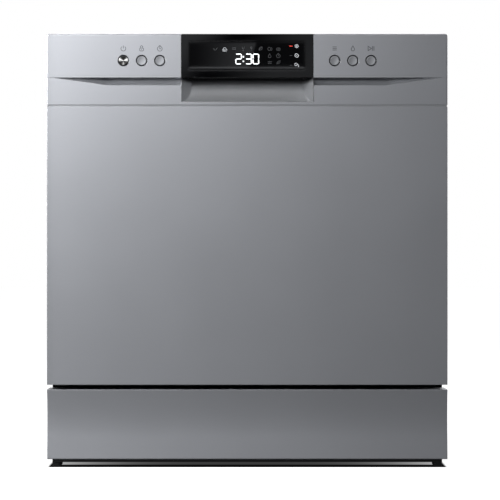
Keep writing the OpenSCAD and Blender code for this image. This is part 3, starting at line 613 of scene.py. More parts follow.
# %% Model the fascia
end_steps = [0, 0.12, 0.5, 1.0, 1.6, 2.2, 3.0]
stations = [half_w - d for d in end_steps]
stations += [mixed(half_w - 6, scoop_full_x, i / 24) for i in range(25)] + [150, 100, 50]
stations = sorted({round(x, 3) for x in stations} | {-round(x, 3) for x in stations} | {0})
fascia_solid = lofted([fascia_section(x) for x in stations])
wall_x = half_w - shell_t
deep_y = front_y + scoop_d
notch_x0 = bezel_low[0] - 0.3
notch_x1 = bezel_high[0] + 0.3
cavity = [
    box_mesh((-wall_x, deep_y + shell_t, fascia_z0 - 1), (wall_x, pan_y + 1, top_z - shell_t), 0),
    box_mesh((-wall_x, front_y + shell_t, crease_z + shell_t), (wall_x, deep_y + 3, top_z - shell_t), 0),
    box_mesh((-wall_x, front_y + shell_t, fascia_z0 - 1), (wall_x, deep_y + 3, crease_z - scoop_h - 4), 0)]
notches = [
    box_mesh((notch_x0, front_y - 1, crease_z + 2.9), (notch_x1, front_y + 7.4, top_z + 1), 0),
    box_mesh((notch_x0, front_y - 1, pocket_low[2] - 0.3), (notch_x1, front_y + 14, crease_z + 3), 0)]
hole_r = 7.8
chamfer_r = hole_r + 0.2
hole_profile = [(0, -1), (chamfer_r, -1), (chamfer_r, 0.05), (hole_r, 0.3), (hole_r, 9), (0, 9)]
holes = [turned(hole_profile, (x * MM, front_y * MM, button_z * MM)) for x in button_xs]
fascia_mesh = carved(fascia_solid, cavity + notches + holes)
print("fascia faces:", len(fascia_mesh.faces))
make_piece("fascia_shell", fascia_mesh, silver_lacquer, "door", ["fascia"])

# %% [markdown]
# ## Painted shade at the top of the pocket
# The pocket is sprayed silver from the front. Towards the top, under the display, its colour is darkened
# to a dark grey as painted shade: a fade over 7.5 mm, which makes the hollow look deep.
# It is added to the finished material, between its own colour and the shader.

# %% Paint shade into the top of the pocket
shade_from_z = crease_z - 8
shade_to_z = crease_z - 0.5


def paint_shade_above(material, unshaded_z, shaded_z, shade_code):
    # painted shade: the colour darkens towards the top, between two heights
    tree = material.node_tree
    shader = next(node for node in tree.nodes if node.type == "BSDF_PRINCIPLED")
    lacquer = shader.inputs["Base Color"].links[0].from_socket
    place = add(tree, "SeparateXYZ", {0: add(tree, "TexCoord").outputs["Object"]})
    fade = add(tree, "MapRange", {"Value": place.outputs[2], "From Min": unshaded_z * MM,
                                  "From Max": shaded_z * MM}, interpolation_type="SMOOTHSTEP")
    painted_shade_colour = add(tree, "Mix", {0: fade, 6: lacquer, 7: colour(shade_code)}, data_type="RGBA")
    tree.links.new(painted_shade_colour.outputs[2], shader.inputs["Base Color"])


# painted shade: the pocket darkens towards its top, under the display
paint_shade_above(pocket_abs, shade_from_z, shade_to_z, "#2A2B2E")
print("lacquer fades from z =", shade_from_z, "to", shade_to_z, "mm")

# %% [markdown]
# ## The handle pocket
# The pocket is a deep smooth hollow: its floor is a quarter of a round, and its cheeks slant in to the back.
# One height field gives both: at every point the depth is the smaller of what the round floor and what the
# cheek allow, and a soft minimum rounds the corner between them, as a mould would.

# %% Shape the pocket's hollow
lip = 0.6
pocket_half = pocket_high[0]
pocket_r = crease_z - (pocket_low[2] - 0.3) - lip
pocket_face_y = front_y + 0.4
cheek_x = pocket_half - 0.35
back_half = 77


def soft_min(a, b, width):
    mix = max(0.0, 1 - abs(a - b) / width)
    return min(a, b) - mix * mix * width / 4


def pocket_depth(x, z):
    floor_depth = math.sqrt(max(0.0, pocket_r ** 2 - max(0.0, crease_z - z) ** 2))
    cheek_depth = pocket_r * max(0.0, cheek_x - abs(x)) / (cheek_x - back_half)
    return max(0.0, soft_min(floor_depth, cheek_depth, 3))


def pocket_cavity():
    mesh = bmesh.new()
    columns, rows = 96, 40
    xs = [cheek_x * math.sin((i / columns - 0.5) * math.pi) for i in range(columns + 1)]
    zs = [crease_z - pocket_r * math.cos(k / rows * math.pi / 2) for k in range(rows + 1)] + [crease_z + 0.6]
    deep = [[mesh.verts.new(Vector((x, pocket_face_y + pocket_depth(x, z), z)) * MM) for x in xs]
            for z in zs]
    near = [[mesh.verts.new(Vector((x, front_y - 1, z)) * MM) for x in xs] for z in zs]
    for k in range(len(zs) - 1):
        for i in range(columns):
            mesh.faces.new((deep[k][i], deep[k][i + 1], deep[k + 1][i + 1], deep[k + 1][i]))
            mesh.faces.new((near[k][i], near[k + 1][i], near[k + 1][i + 1], near[k][i + 1]))
        for i in (0, columns):
            mesh.faces.new((deep[k][i], deep[k + 1][i], near[k + 1][i], near[k][i]))
    for k in (0, len(zs) - 1):
        for i in range(columns):
            mesh.faces.new((deep[k][i], near[k][i], near[k][i + 1], deep[k][i + 1]))
    return mesh


print("pocket radius in mm:", round(pocket_r, 1))

# %% [markdown]
# ## Cut the pocket
# The hollow is cut out of a block. A second block sits behind the display, and its own hollow leaves room
# for the fingertips, which hook over the edge when the door is pulled open.

# %% Model the handle pocket
hook_half = 80
pocket_block = box_mesh((-pocket_half, pocket_face_y, pocket_low[2]),
                        (pocket_half, pocket_high[1], crease_z), 0)
hook_block = box_mesh((-hook_half, front_y + 13, crease_z - 0.2),
                      (hook_half, pocket_high[1], pocket_high[2]), 0)
finger_room = box_mesh((-back_half, front_y + 15, crease_z - 1), (back_half, front_y + 34, crease_z + 10), 0)
pocket_mesh = joined(bmesh.new(), [carved(pocket_block, [pocket_cavity()]),
                                   carved(hook_block, [finger_room])])
print("pocket faces:", len(pocket_mesh.faces))
make_piece("handle_pocket_shell", pocket_mesh, pocket_abs, "door", ["handle_pocket"],
           tidy=False)

# %% [markdown]
# ## Soft edges on exact parts
# Paint, a press tool or a mould rounds every edge, and light that catches a rounded edge shows where a part
# ends. `softened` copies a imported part's exact shape, bevels its sharp edges or the ones that `where`
# picks, and lets the copy stand for the part.

# %% Define the soft edges
def soft_mesh(node, edge, steps=2, where=None):
    mesh = bmesh.new()
    mesh.from_mesh(frame["nodes"][node].data)
    bmesh.ops.remove_doubles(mesh, verts=mesh.verts, dist=0.01 * MM)
    bmesh.ops.dissolve_limit(mesh, angle_limit=math.radians(0.5), verts=mesh.verts, edges=mesh.edges)
    edges = [e for e in mesh.edges if e.is_manifold and e.calc_face_angle() > math.radians(35)]
    if where:
        edges = [e for e in edges if where((e.verts[0].co + e.verts[1].co) / 2 / MM)]
    bmesh.ops.bevel(mesh, geom=edges, offset=edge * MM, segments=steps, profile=0.5, affect="EDGES",
                    clamp_overlap=True, loop_slide=True)
    return mesh


def softened(node, edge, steps=2, where=None):
    mesh = soft_mesh(node, edge, steps, where)
    make_piece(node + "_shell", mesh, finish_of(node), body_of(node), [node])


print("edges sharper than 35 degrees are rounded")

# %% [markdown]
# ## Display frame and window
# The display sits behind a polished black frame. Both are close-fitting mouldings whose edges are rounded
# by a fraction of a millimetre, which is enough for a fine line of light to run along the frame. The
# frame's outer edges and the ledge under the window are rounded. The window's own seat stays sharp, so it
# fits.

# %% Model the display frame and window
def shows_an_edge(point):
    outer = abs(point.x) > bezel_high[0] - 1 or point.z > bezel_high[2] - 1
    ledge = abs(point.x) < 60 and point.z < window_low[2] and point.y < front_y + 0.5
    return outer or ledge


softened("display_bezel", 0.3, steps=3, where=shows_an_edge)
softened("display_glass", 0.25)
print("window in mm:", [round(window_high[i] - window_low[i], 1) for i in (0, 2)])

# %% [markdown]
# ## Buttons
# Each button is a turned cap in a round hole: a shallow dish with a rounded rim. A dark stem behind it
# carries a collar that keeps it in, and meets the switch. Both come from one profile each. Only the power
# button has the spun metal face; the others are lacquered.

# %% Turn the buttons
cap_r = 6.5
cap_back = 2.0
stem_r = 6.2
collar_r = 8.8
collar_y0 = shell_t + 0.8
collar_y1 = shell_t + 1.9
cap_profile = [(0, 0.62), (2.5, 0.57), (4.6, 0.42), (5.6, 0.31), (6.0, 0.32), (6.3, 0.45), (cap_r, 0.8),
               (cap_r, cap_back), (0, cap_back)]
stem_profile = [(0, cap_back), (stem_r, cap_back), (stem_r, collar_y0), (collar_r, collar_y0),
                (collar_r, collar_y1), (cap_r, collar_y1), (cap_r, 6), (2, 6), (2, 8.6), (0, 8.6)]
for node, x in zip(button_nodes, button_xs):
    centre = Vector((x, front_y, button_z)) * MM
    cap = turned(cap_profile, centre, count=64)
    make_piece(node + "_cap", cap, finish_of(node), body_of(node), [node])
    make_piece(node + "_stem", turned(stem_profile, centre), stem_abs, body_of(node),
               [node])
print("buttons:", len(button_nodes), "of", 2 * cap_r, "mm")

# %% [markdown]
# ## Door panel
# The door panel is pressed from coated sheet, so its outer edges are rolled over a small radius and only
# those are rounded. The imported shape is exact, so a soft copy of it is enough.

# %% Model the door panel
door_low, door_high = corner_mm("door_outer_panel")
door_edge = 0.7


def on_outer_edges(point):
    near_end = abs(point.x) > door_high[0] - 0.2
    over_or_under = point.z < door_low[2] + 0.2 or point.z > door_high[2] - 0.2
    return point.y < door_low[1] + 0.2 or (near_end and over_or_under)


softened("door_outer_panel", door_edge, steps=4, where=on_outer_edges)
print("door panel in mm:", round(door_high[0] - door_low[0], 1), "x", round(door_high[2] - door_low[2], 1))

# %% [markdown]
# ## Kick panel
# The kick panel is hollow: an arc leans back from its top edge and runs into a flat foot that comes forward
# again. Light from above falls short of the upper part and lies full on the foot, which draws a soft band
# along it. One section with the sheet's thickness taken off gives the outside and the inside, and the ends
# are rounded.

# %% Model the kick panel
kick_low, kick_high = corner_mm("kick_panel")
sheet_t = 1.2
kick_hollow_r = 229
kick_hollow_z = 62.5
kick_hollow_y = front_y + 4.1 - kick_hollow_r
kick_bend_z = 42
kick_z0 = kick_low[2]
kick_top = kick_high[2] - 1.1
kick_ends = [half_w - d for d in (0, 0.12, 0.4, 0.7, 1.0)]


def kick_section(x, t):
    shift = (round_the_end(0, x) if t == 0 else 0) + t
    radius = kick_hollow_r + shift
    back = kick_high[1] + 2 * t
    face = front_y + shift
    top = kick_top - t
    low = kick_z0 + t
    zs = [mixed(top - 1.2, kick_bend_z, i / 20) for i in range(21)]
    points = [(back, top), (face + 0.6, top), (face + 0.2, top - 0.2)]
    points += [(kick_hollow_y + math.sqrt(radius ** 2 - (z - kick_hollow_z) ** 2), z) for z in zs]
    points += [(face + 0.5, low + 1.5), (face + 0.9, low + 0.45), (face + 1.9, low), (back, low)]
    return [(x, y, z) for y, z in points]


kick_solid = lofted([kick_section(x, 0) for x in sorted([-x for x in kick_ends] + kick_ends)])
kick_hollow = lofted([kick_section(x, sheet_t) for x in (sheet_t - half_w, half_w - sheet_t)])
make_piece("kick_panel_shell", carved(kick_solid, [kick_hollow]), silver_sheet, "cabinet",
           ["kick_panel"], smooth_below=25)
print("kick panel in mm:", [round(high - low, 1) for low, high in zip(kick_low, kick_high)])

# %% [markdown]
# ## The strip in the seam
# Fascia and door panel are two parts with a 2 mm seam between them. A soft grey strip fills it from behind,
# 0.7 mm down, so the seam is a fine shadow line and no light or water gets through.

# %% Fill the seam
seam_strip = box_mesh((-half_w + 1, front_y + 0.7, door_high[2] + 0.05),
                      (half_w - 1, front_y + 2.4, fascia_z0 - 0.05), 0.2)
make_piece("seam_strip", seam_strip, seam_grey, "door")
print("seam in mm:", round(fascia_z0 - door_high[2], 1))

# %% [markdown]
# ## Prints and signs
# Signs on a machine like this are screen-printed, and those behind the window are lit from the back. Either
# way a sign is a very thin layer, so each one here is a plate of ink 0.05 mm thick made from strokes of one
# width. A `ribbon` follows a line and mitres its corners. Image textures would blur, and curves would round
# the corners.

# %% Draw ribbons
ink_t = 0.05


def ribbon(mesh, line, width, y, closed=False):
    count = len(line)
    sides = []
    for i, (x, z) in enumerate(line):
        before = line[i - 1] if closed or i else (2 * x - line[1][0], 2 * z - line[1][1])
        mirrored_end = (2 * x - line[i - 1][0], 2 * z - line[i - 1][1])
        after = line[(i + 1) % count] if closed or i < count - 1 else mirrored_end
        a = Vector((x - before[0], z - before[1])).normalized()
        b = Vector((after[0] - x, after[1] - z)).normalized()
        normal = Vector((-(a + b).y, (a + b).x)).normalized()
        reach = width / 2 / max(0.4, normal.dot(Vector((-a.y, a.x))))
        across, up = normal.x * reach, normal.y * reach
        sides.append((x + across, z + up, x - across, z - up))
    sections = [[(x0, y, z0), (x1, y, z1), (x1, y - ink_t, z1), (x0, y - ink_t, z0)]
                for x0, z0, x1, z1 in sides]
    return lofted(sections + sections[:1] if closed else sections, capped=not closed, mesh=mesh)


def ring(cx, cz, r, start=0, end=360, count=20):
    points = arc(cx, cz, r, start, end, count)
    return points[:-1] if end - start == 360 else points


def frame_line(x0, x1, z0, z1, cut=0.25):
    return [(x0 + cut, z0), (x1 - cut, z0), (x1, z0 + cut), (x1, z1 - cut), (x1 - cut, z1), (x0 + cut, z1),
            (x0, z1 - cut), (x0, z0 + cut)]


print("ink thickness in mm:", ink_t)

# %% [markdown]
# ## A table of pictograms
# Each sign is a few lines on a grid from -1 to 1, and each line is either closed or open. They are general
# signs that belong to no maker: power, lock, clock, dishes, water and food.

# %% List the signs
gear_line = [(0.62 * math.cos(a) * k, 0.62 * math.sin(a) * k) for i in range(16)
             for a, k in [(i * math.pi / 8 + math.pi / 16, 1.45 if i % 2 else 1.0)]]
lock_shackle = [(-0.42, 0.28)] + ring(0, 0.55, 0.42, 180, 0, 10) + [(0.42, 0.28)]
dome_line = [(-0.7, -0.2), (-0.55, 0.35), (-0.2, 0.6), (0.2, 0.6), (0.55, 0.35), (0.7, -0.2)]
bowl_line = [(-0.45, 0.9), (-0.35, 0.1), (0, -0.1), (0.35, 0.1), (0.45, 0.9)]
leaf_line = [(-0.8, -0.6), (-0.5, 0.3), (0.1, 0.7), (0.8, 0.8), (0.7, 0.0), (0.2, -0.5)]
closed_lines = {
    "lock": [frame_line(-0.68, 0.68, -0.9, 0.15)],
    "clock": [ring(0, -0.1, 0.82)],
    "drop": [[(0, 0.95)] + ring(0, -0.3, 0.6, 30, -210, 14)],
    "play": [[(-0.95, -0.7), (-0.95, 0.7), (0.1, 0.0)]],
    "leaf": [leaf_line],
    "plates": [ring(-0.2, 0, 0.7)],
    "basket": [frame_line(-0.8, 0.8, -0.7, 0.5)],
    "gear": [gear_line, ring(0, 0, 0.3, count=10)],
    "tablet": [frame_line(-0.75, 0.75, -0.6, 0.6, 0.3)],
    "spray": [frame_line(-0.85, 0.25, -0.2, 0.8, 0.3)],
}
open_lines = {
    "power": [ring(0, -0.05, 0.82, 125, 415, 22), [(0, 0.0), (0, 1.0)]],
    "lock": [lock_shackle, [(0, -0.2), (0, -0.55)]],
    "clock": [[(0, 0.45), (0, -0.1), (0.42, -0.1)], [(-0.3, 1.0), (0.3, 1.0)]],
    "list": [[(-0.8, h), (0.8, h)] for h in (0.6, 0.0, -0.6)],
    "play": [[(0.42, -0.75), (0.42, 0.75)], [(0.9, -0.75), (0.9, 0.75)]],
    "tureen": [dome_line, [(-1, -0.3), (1, -0.3)], [(-0.8, -0.75), (0.8, -0.75)]],
    "pan": [[(-0.9, 0.3), (-0.7, -0.5), (0.3, -0.5), (0.5, 0.3)], [(0.5, 0.2), (1, 0.4)]],
    "glass": [bowl_line, [(0, -0.1), (0, -0.8)], [(-0.35, -0.85), (0.35, -0.85)]],
    "fork": [[(-0.3, 0.9), (-0.3, 0.2), (0.3, 0.2), (0.3, 0.9)], [(0, 0.9), (0, -0.9)]],
    "leaf": [[(-0.6, -0.4), (0.4, 0.4)]],
    "plates": [ring(0.35, 0, 0.7, 70, -70, 8)],
    "basket": [[(-0.8, -0.1), (0.8, -0.1)], [(-0.25, 0.5), (-0.25, -0.7)], [(0.25, 0.5), (0.25, -0.7)]],
    "wave": [[(-0.9, h + 0.2), (-0.45, h - 0.2), (0, h + 0.2), (0.45, h - 0.2), (0.9, h + 0.2)]
             for h in (0.4, -0.3)],
    "tablet": [[(-0.3, 0), (0.3, 0)]],
    "spray": [ring(0.35, -0.35, 0.5, 150, -60, 10)],
    "dash": [[(-1, 0), (1, 0)]],
}
print("signs listed:", len(set(closed_lines) | set(open_lines)))

# %% [markdown]
# ## Signs over the buttons
# A small grey pictogram stands above each button: power, child lock, delayed start, programme, function and
# start or pause. `drawn` puts one sign at its place and size, and turns it if need be.

# %% Print the button signs
sign_z = 574.6
sign_stroke = 0.9


def drawn(mesh, sign, x, z, size, width, y, tilt=0):
    turn = math.radians(tilt)
    for closed, lines in ((True, closed_lines), (False, open_lines)):
        for line in lines.get(sign, []):
            placed = [(x + size / 2 * (px * math.cos(turn) - pz * math.sin(turn)),
                       z + size / 2 * (px * math.sin(turn) + pz * math.cos(turn))) for px, pz in line]
            ribbon(mesh, placed, width, y, closed)
    return mesh


ink_mesh = bmesh.new()
button_signs = [("power", 8), ("lock", 7.6), ("clock", 8), ("list", 7), ("drop", 7.6), ("play", 8.6)]
for (sign, size), x in zip(button_signs, button_xs):
    drawn(ink_mesh, sign, x, sign_z, size, sign_stroke, skin_y + 0.02)
make_piece("button_signs", ink_mesh, legend_ink, "door")
print("button signs at z =", sign_z)

# %% [markdown]
# ## The digits
# Behind the smoked window is one numeric display with three digits. A lit segment is a hexagon with small
# gaps at the corners, so the digits look cut, not drawn. Each digit is a list of segments, as in the real
# display.

# %% Light the digits
glass_y = window_low[1] + 0.01
digit_w = 9.2
digit_h = 14.9
digit_z = 552.8
digit_lefts = (-16.4, -2.8, 7.2)
colon_x = -5.3
colon_zs = (557.0, 563.2)
stroke = 1.5
segment_gap = 0.22
segments = {"a": (0, 2, 1, 2), "b": (1, 1, 1, 2), "c": (1, 0, 1, 1), "d": (0, 0, 1, 0), "e": (0, 0, 0, 1),
            "f": (0, 1, 0, 2), "g": (0, 1, 1, 1)}
shown = {"2": "abged", "3": "abgcd", "0": "abcdef"}


def segment_plate(mesh, x0, z0, x1, z1):
    along = Vector((x1 - x0, z1 - z0)).normalized()
    side = Vector((-along.y, along.x)) * stroke / 2
    tip = stroke / 2 * 0.98
    start = Vector((x0, z0)) + along * segment_gap
    end = Vector((x1, z1)) - along * segment_gap
    outline = [start, start + along * tip + side, end - along * tip + side, end,
               end - along * tip - side, start + along * tip - side]
    lofted([[(p.x, y, p.y) for p in outline] for y in (glass_y, glass_y - ink_t)], mesh=mesh)


lit_mesh = bmesh.new()
for digit, left in zip("230", digit_lefts):
    wide = digit_w - stroke
    high_step = (digit_h - stroke) / 2
    for letter in shown[digit]:
        ax, az, bx, bz = segments[letter]
        segment_plate(lit_mesh, left + stroke / 2 + ax * wide, digit_z + stroke / 2 + az * high_step,
                      left + stroke / 2 + bx * wide, digit_z + stroke / 2 + bz * high_step)
for dot_z in colon_zs:
    drawn(lit_mesh, "dash", colon_x, dot_z, 1.9, 1.9, glass_y)
make_piece("display_digits", lit_mesh, lit_white, "door")
print("digits", digit_h, "mm high, stroke", stroke, "mm")

# %% [markdown]
# ## The programme signs
# A row of programme signs runs above the digits, with two columns of options beside them. Only one
# programme is lit at a time; the others stay just visible. Three settings stand at the right with a small
# mark before each, and the mark of the first one is red. Every sign is a row in a table: its name, its
# place, its size and stroke.

# %% Light the programme signs
option_x = 67.9
mark_x = 60.1
option_zs = (577.9, 565.0, 551.8)
row_signs = (("pan", -43.4), ("wave", -18.1), ("glass", -5.6), ("fork", 5.6), ("leaf", 18.4))
dim_signs = [(sign, x, 574.3) for sign, x in row_signs]
dim_signs += [("plates", 30.9, 574), ("basket", 42.7, 574), ("drop", 30.9, 564.7), ("clock", 42.7, 564.7),
              ("wave", 30.9, 555.4), ("leaf", 42.7, 555.4)]
lit_sign = drawn(bmesh.new(), "tureen", -30.9, 573.6, 6.8, 0.6, glass_y)
make_piece("display_lit_sign", lit_sign, soft_white, "door")
dim_mesh = bmesh.new()
for sign, x, z in dim_signs:
    drawn(dim_mesh, sign, x, z, 6.2, 0.6, glass_y)
for z in option_zs[1:]:
    drawn(dim_mesh, "dash", mark_x, z, 3.2, 0.8, glass_y)
make_piece("display_unlit_signs", dim_mesh, unlit_grey_faint_glow, "door")
option_mesh = drawn(bmesh.new(), "gear", option_x, option_zs[0], 5.8, 0.5, glass_y)
drawn(option_mesh, "tablet", option_x, option_zs[1], 6.6, 0.7, glass_y, tilt=-35)
drawn(option_mesh, "spray", option_x, option_zs[2], 6.6, 0.7, glass_y)
make_piece("display_option_signs", option_mesh, soft_white, "door")
red_mark = drawn(bmesh.new(), "dash", mark_x, option_zs[0], 4.4, 1.0, glass_y)
make_piece("display_red_mark", red_mark, lit_red, "door")
print("signs in the window:", 1 + len(dim_signs) + len(option_zs))

# %% [markdown]
# ## Casing and base
# Behind the door the machine is folded sheet: two sides, a top cover and a back of zinc-plated steel. A
# folded edge has a small radius that catches a line of light, so every sheet part gets its edges rounded a
# little. The base is moulded black ABS, and the feet are soft rubber, so their edges are rounder.

# %% Round the casing
case_edges = {"side_panel_left": 0.4, "side_panel_right": 0.4, "top_cover": 0.5, "rear_panel": 0.3,
              "base_tray": 0.6, "feet": 0.9, "rear_screws": 0.3, "hinge_brackets": 0.4, "hinge_arms": 0.4,
              "cable_gland": 0.6}
for node, edge in case_edges.items():
    softened(node, edge)
print("casing parts:", len(case_edges))

# %% [markdown]
# ## Water fittings
# The two hose fittings stand behind the back. The inlet has a 3/4 inch thread that the supply hose screws
# onto. The drain spigot has barbs: rings that slope one way, so the waste hose pushes on and doesn't slip
# off. Both are cut as grooves into the exact bodies, so the sealing diameters stay true.

# %% Cut the thread and the barbs
inlet_low, inlet_high = corner_mm("inlet_valve")
drain_low, drain_high = corner_mm("drain_outlet")
port_z = (drain_low[2] + drain_high[2]) / 2
inlet_x = (inlet_low[0] + inlet_high[0]) / 2
drain_x = (drain_low[0] + drain_high[0]) / 2


def grooves(x, radius, depth, first, pitch, number, slope):
    place = (x * MM, 0, port_z * MM)
    clear_r = radius + 1
    starts = [first + i * pitch for i in range(number)]
    profiles = [[(clear_r, start), (radius - depth, start + pitch * slope), (clear_r, start + pitch * 0.96)]
                for start in starts]
    return [turned(profile, place, closed=True) for profile in profiles]


thread = grooves(inlet_x, 13.22, 0.9, 238.2, 1.8, 6, 0.5)
inlet_mesh = carved(soft_mesh("inlet_valve", 0.4), thread)
make_piece("inlet_valve_shell", inlet_mesh, white_pp, "cabinet", ["inlet_valve"])
barbs = grooves(drain_x, 9.5, 1.1, 238.5, 3.4, 3, 0.08)
drain_mesh = carved(soft_mesh("drain_outlet", 0.4), barbs)
make_piece("drain_outlet_shell", drain_mesh, grey_pp, "cabinet", ["drain_outlet"])
print("fittings at z =", round(port_z), "mm, x =", round(inlet_x), "and", round(drain_x))

# %% [markdown]
# ## Tub, works and door inside
# The tub and the liner are deep-drawn stainless steel, so no edge inside is sharp. The pumps, the softener
# and the heater are moulded plastic with wall corners of about a millimetre. All keep their exact shapes
# with soft edges.

# %% Round the inside
inner_edges = {"tub_wrapper": 0.3, "tub_back": 0.4, "tub_floor": 1.0, "door_seal": 0.9, "latch_striker": 0.4,
               "sump": 0.8, "wash_pump": 0.9, "drain_pump": 0.9, "heater": 0.9, "water_softener": 1.0,
               "salt_cap": 0.9, "float_cup": 1.0, "water_duct": 0.9, "filter_plate": 0.25, "filter_cup": 0.6,
               "rail_guides": 0.7, "rack_rails": 0.8, "rack_feed_pipe": 0.9, "cutlery_basket": 0.45,
               "door_inner_liner": 0.35, "door_latch": 0.5, "dispenser": 0.7, "dispenser_lid": 0.5,
               "rinse_cap": 0.8, "control_board": 0.2}
for node, edge in inner_edges.items():
    softened(node, edge)
print("inner parts:", len(inner_edges))

# %% [markdown]
# ## The blade of a spray arm
# A spray arm is a hollow blade welded from two moulded halves, so a thin weld rim runs round its middle.
# The blade is a loft of rounded sections, as wide as the hub in the middle and round at the tips. A power
# below one on the sine and cosine makes each section fuller than an ellipse, as a moulded blade is.

# %% Draw the blade's sections
blade_h = 8
rim_w = 1.2
rim_half_t = 0.4
hub_r = 30
tip_r = 15


def blade_section(x, reach, middle_y, middle_z):
    into_tip = max(0.0, abs(x) - (reach - tip_r)) / tip_r
    half_at_tip = tip_r * math.sqrt(max(0.0, 1 - into_tip ** 2))
    half = max(half_at_tip, math.sqrt(max(0.0, hub_r ** 2 - x * x)), 0.5)
    inner = half * (1 - rim_w / tip_r)
    high = blade_h / 2 * math.sqrt(max(0.02, 1 - into_tip ** 4))
    rim = ((inner, -rim_half_t), (half, -rim_half_t), (half, rim_half_t), (inner, rim_half_t))
    section = []
    for turn in range(0, 360, 15):
        a = math.radians(turn)
        if turn % 180:
            across = math.copysign(abs(math.cos(a)) ** 0.5, math.cos(a))
            up = math.copysign(abs(math.sin(a)) ** 0.6, math.sin(a))
            section.append((x, middle_y + inner * across, middle_z + high * up))
        else:
            side = 1 if turn == 0 else -1
            section += [(x, middle_y + side * y, middle_z + side * z) for y, z in rim]
    return section


print("blade", blade_h, "mm high,", 2 * tip_r, "mm wide at the tips and", 2 * hub_r, "mm at the hub")

# %% [markdown]
# ## Spray arms
# Water leaves an arm through small raised nozzles on both sides of its middle line, and the push of the jets
# turns it. The bore is cut through the blade, and the hub ring and the nozzles are turned and joined to it.

# %% Model the spray arms
nozzle_pitch = 18
nozzle_profile = [(0, blade_h - 1.5), (3.4, blade_h - 1.5), (2.6, blade_h + 0.8), (1.5, blade_h + 0.9),
                  (1.1, blade_h), (0, blade_h)]


def spray_arm(node, blade_z0, bore_d):
    low, high = corner_mm(node)
    reach = (high[0] - low[0]) / 2
    middle_y = (low[1] + high[1]) / 2
    bore_r = bore_d / 2
    steps = [reach * math.sin(i / 40 * math.pi / 2) for i in range(41)]
    xs = sorted({round(x, 2) for x in steps} | {-round(x, 2) for x in steps})
    blade = lofted([blade_section(x, reach, middle_y, blade_z0 + blade_h / 2) for x in xs])
    centre = (0, middle_y * MM, 0)
    bore_profile = [(0, low[2] - 1), (bore_r, low[2] - 1), (bore_r, high[2] + 1), (0, high[2] + 1)]
    bore = turned(bore_profile, centre, axis="Z")
    hub_profile = [(bore_r, low[2]), (18, low[2]), (19, low[2] + 1), (19, high[2] - 1), (18, high[2]),
                   (bore_r, high[2])]
    added = [turned(hub_profile, centre, axis="Z", closed=True)]
    for side in (-1, 1):
        for i in range(2, 10):
            place = (side * i * nozzle_pitch * MM, (middle_y + side * 5) * MM, blade_z0 * MM)
            added.append(turned(nozzle_profile, place, axis="Z", count=20))
    mesh = joined(carved(blade, [bore]), added)
    print(node, "with", len(added) - 1, "nozzles and", len(mesh.faces), "faces")
    make_piece(node + "_blade", mesh, grey_pp, body_of(node), [node], smooth_below=40)


spray_arm("lower_spray_arm", 164.5, 20.1)
spray_arm("upper_spray_arm", 396, 16.1)

# %% [markdown]
# ## Round bars and wires
# Springs, racks and axles are all one thing: a round section along a line. `tube` makes that from any row
# of points, turns the section as little as it can between them, and closes both ends with small domes. A
# bevelled curve would do the same, but it leaves its ends flat.

# %% Define the round bar
dome_steps = (0, 30, 60, 80)


def tube(mesh, line, diameter, sides=10, closed=False):
    points = [Vector(p) for p in line]
    radius = diameter / 2
    last = len(points) - 1
    stops = []
    for i, point in enumerate(points):
        before = points[i - 1] if closed or i else point
        after = points[(i + 1) % len(points)] if closed or i < last else point
        stops.append((point, (after - before).normalized(), radius))
    if not closed:
        for end, sign in ((0, -1), (-1, 1)):
            point, along, _ = stops[end]
            dome = []
            for k in dome_steps:
                out = sign * radius * (math.sin(math.radians(k)) - 1)
                dome.append((point + along * out, along, radius * math.cos(math.radians(k))))
            stops = dome[::-1] + stops[1:] if end == 0 else stops[:-1] + dome
    up = stops[0][1].orthogonal().normalized()
    circle = [2 * math.pi * k / sides for k in range(sides)]
    sections = []
    for point, along, r in stops:
        up = (up - along * up.dot(along)).normalized()
        side = along.cross(up)
        sections.append([point + (up * math.cos(a) + side * math.sin(a)) * r for a in circle])
    return lofted(sections + sections[:1] if closed else sections, capped=not closed, mesh=mesh)


print("each free end is a dome of", len(dome_steps), "rings")

# %% [markdown]
# ## Door balance springs
# Two tension springs in the base hold the door's weight. A spring is one wire wound on a helix, so it is a
# single bar along a computed line: a point goes round while it moves on by one pitch for each turn.

# %% Wind the springs
spring_low, spring_high = corner_mm("hinge_springs")
spring_wire_d = 3.6
spring_turns = 17
turn_steps = 14
coil_r = (spring_high[2] - spring_low[2] - spring_wire_d) / 2
coil_z = (spring_low[2] + spring_high[2]) / 2
spring_y0 = spring_low[1] + spring_wire_d / 2
spring_y1 = spring_high[1] - spring_wire_d / 2
spring_mesh = bmesh.new()
for side in (-1, 1):
    coil_x = side * (spring_high[0] - coil_r - spring_wire_d / 2)
    wound = []
    for i in range(spring_turns * turn_steps + 1):
        angle = 2 * math.pi * i / turn_steps
        along = mixed(spring_y0, spring_y1, i / (spring_turns * turn_steps))
        wound.append((coil_x + coil_r * math.cos(angle), along, coil_z + coil_r * math.sin(angle)))
    tube(spring_mesh, wound, spring_wire_d, sides=8)
make_piece("hinge_springs_coil", spring_mesh, bright_zinc, body_of("hinge_springs"),
           ["hinge_springs"])
print("spring turns:", spring_turns, "of", round(2 * coil_r + spring_wire_d, 1), "mm")

# %% [markdown]
# ## Racks of coated wire
# A dishwasher rack is welded from round steel wire, 3.4 mm thick, and then dipped in nylon. The coat rounds
# every free end into a bead. The top rim is one wire bent round the whole rack, so its corners are curved.
# Floor and walls are grids of wires that lie on each other, a little into each other where they are welded.

# %% Define a rack's floor and walls
wire_d = 3.4
tine_d = 3
lap = wire_d - 0.4
floor_wires_x = 15
floor_wires_y = 9
wall_wires_x = 11
wall_wires_y = 9


def rounded_loop(x0, x1, y0, y1, z, r, count=6):
    flat = arc(x1 - r, y1 - r, r, 0, 90, count) + arc(x0 + r, y1 - r, r, 90, 180, count)
    flat += arc(x0 + r, y0 + r, r, 180, 270, count) + arc(x1 - r, y0 + r, r, 270, 360, count)
    return [(x, y, z) for x, y in flat]


def evenly(start, end, count):
    return [mixed(start, end, i / (count - 1)) for i in range(count)]


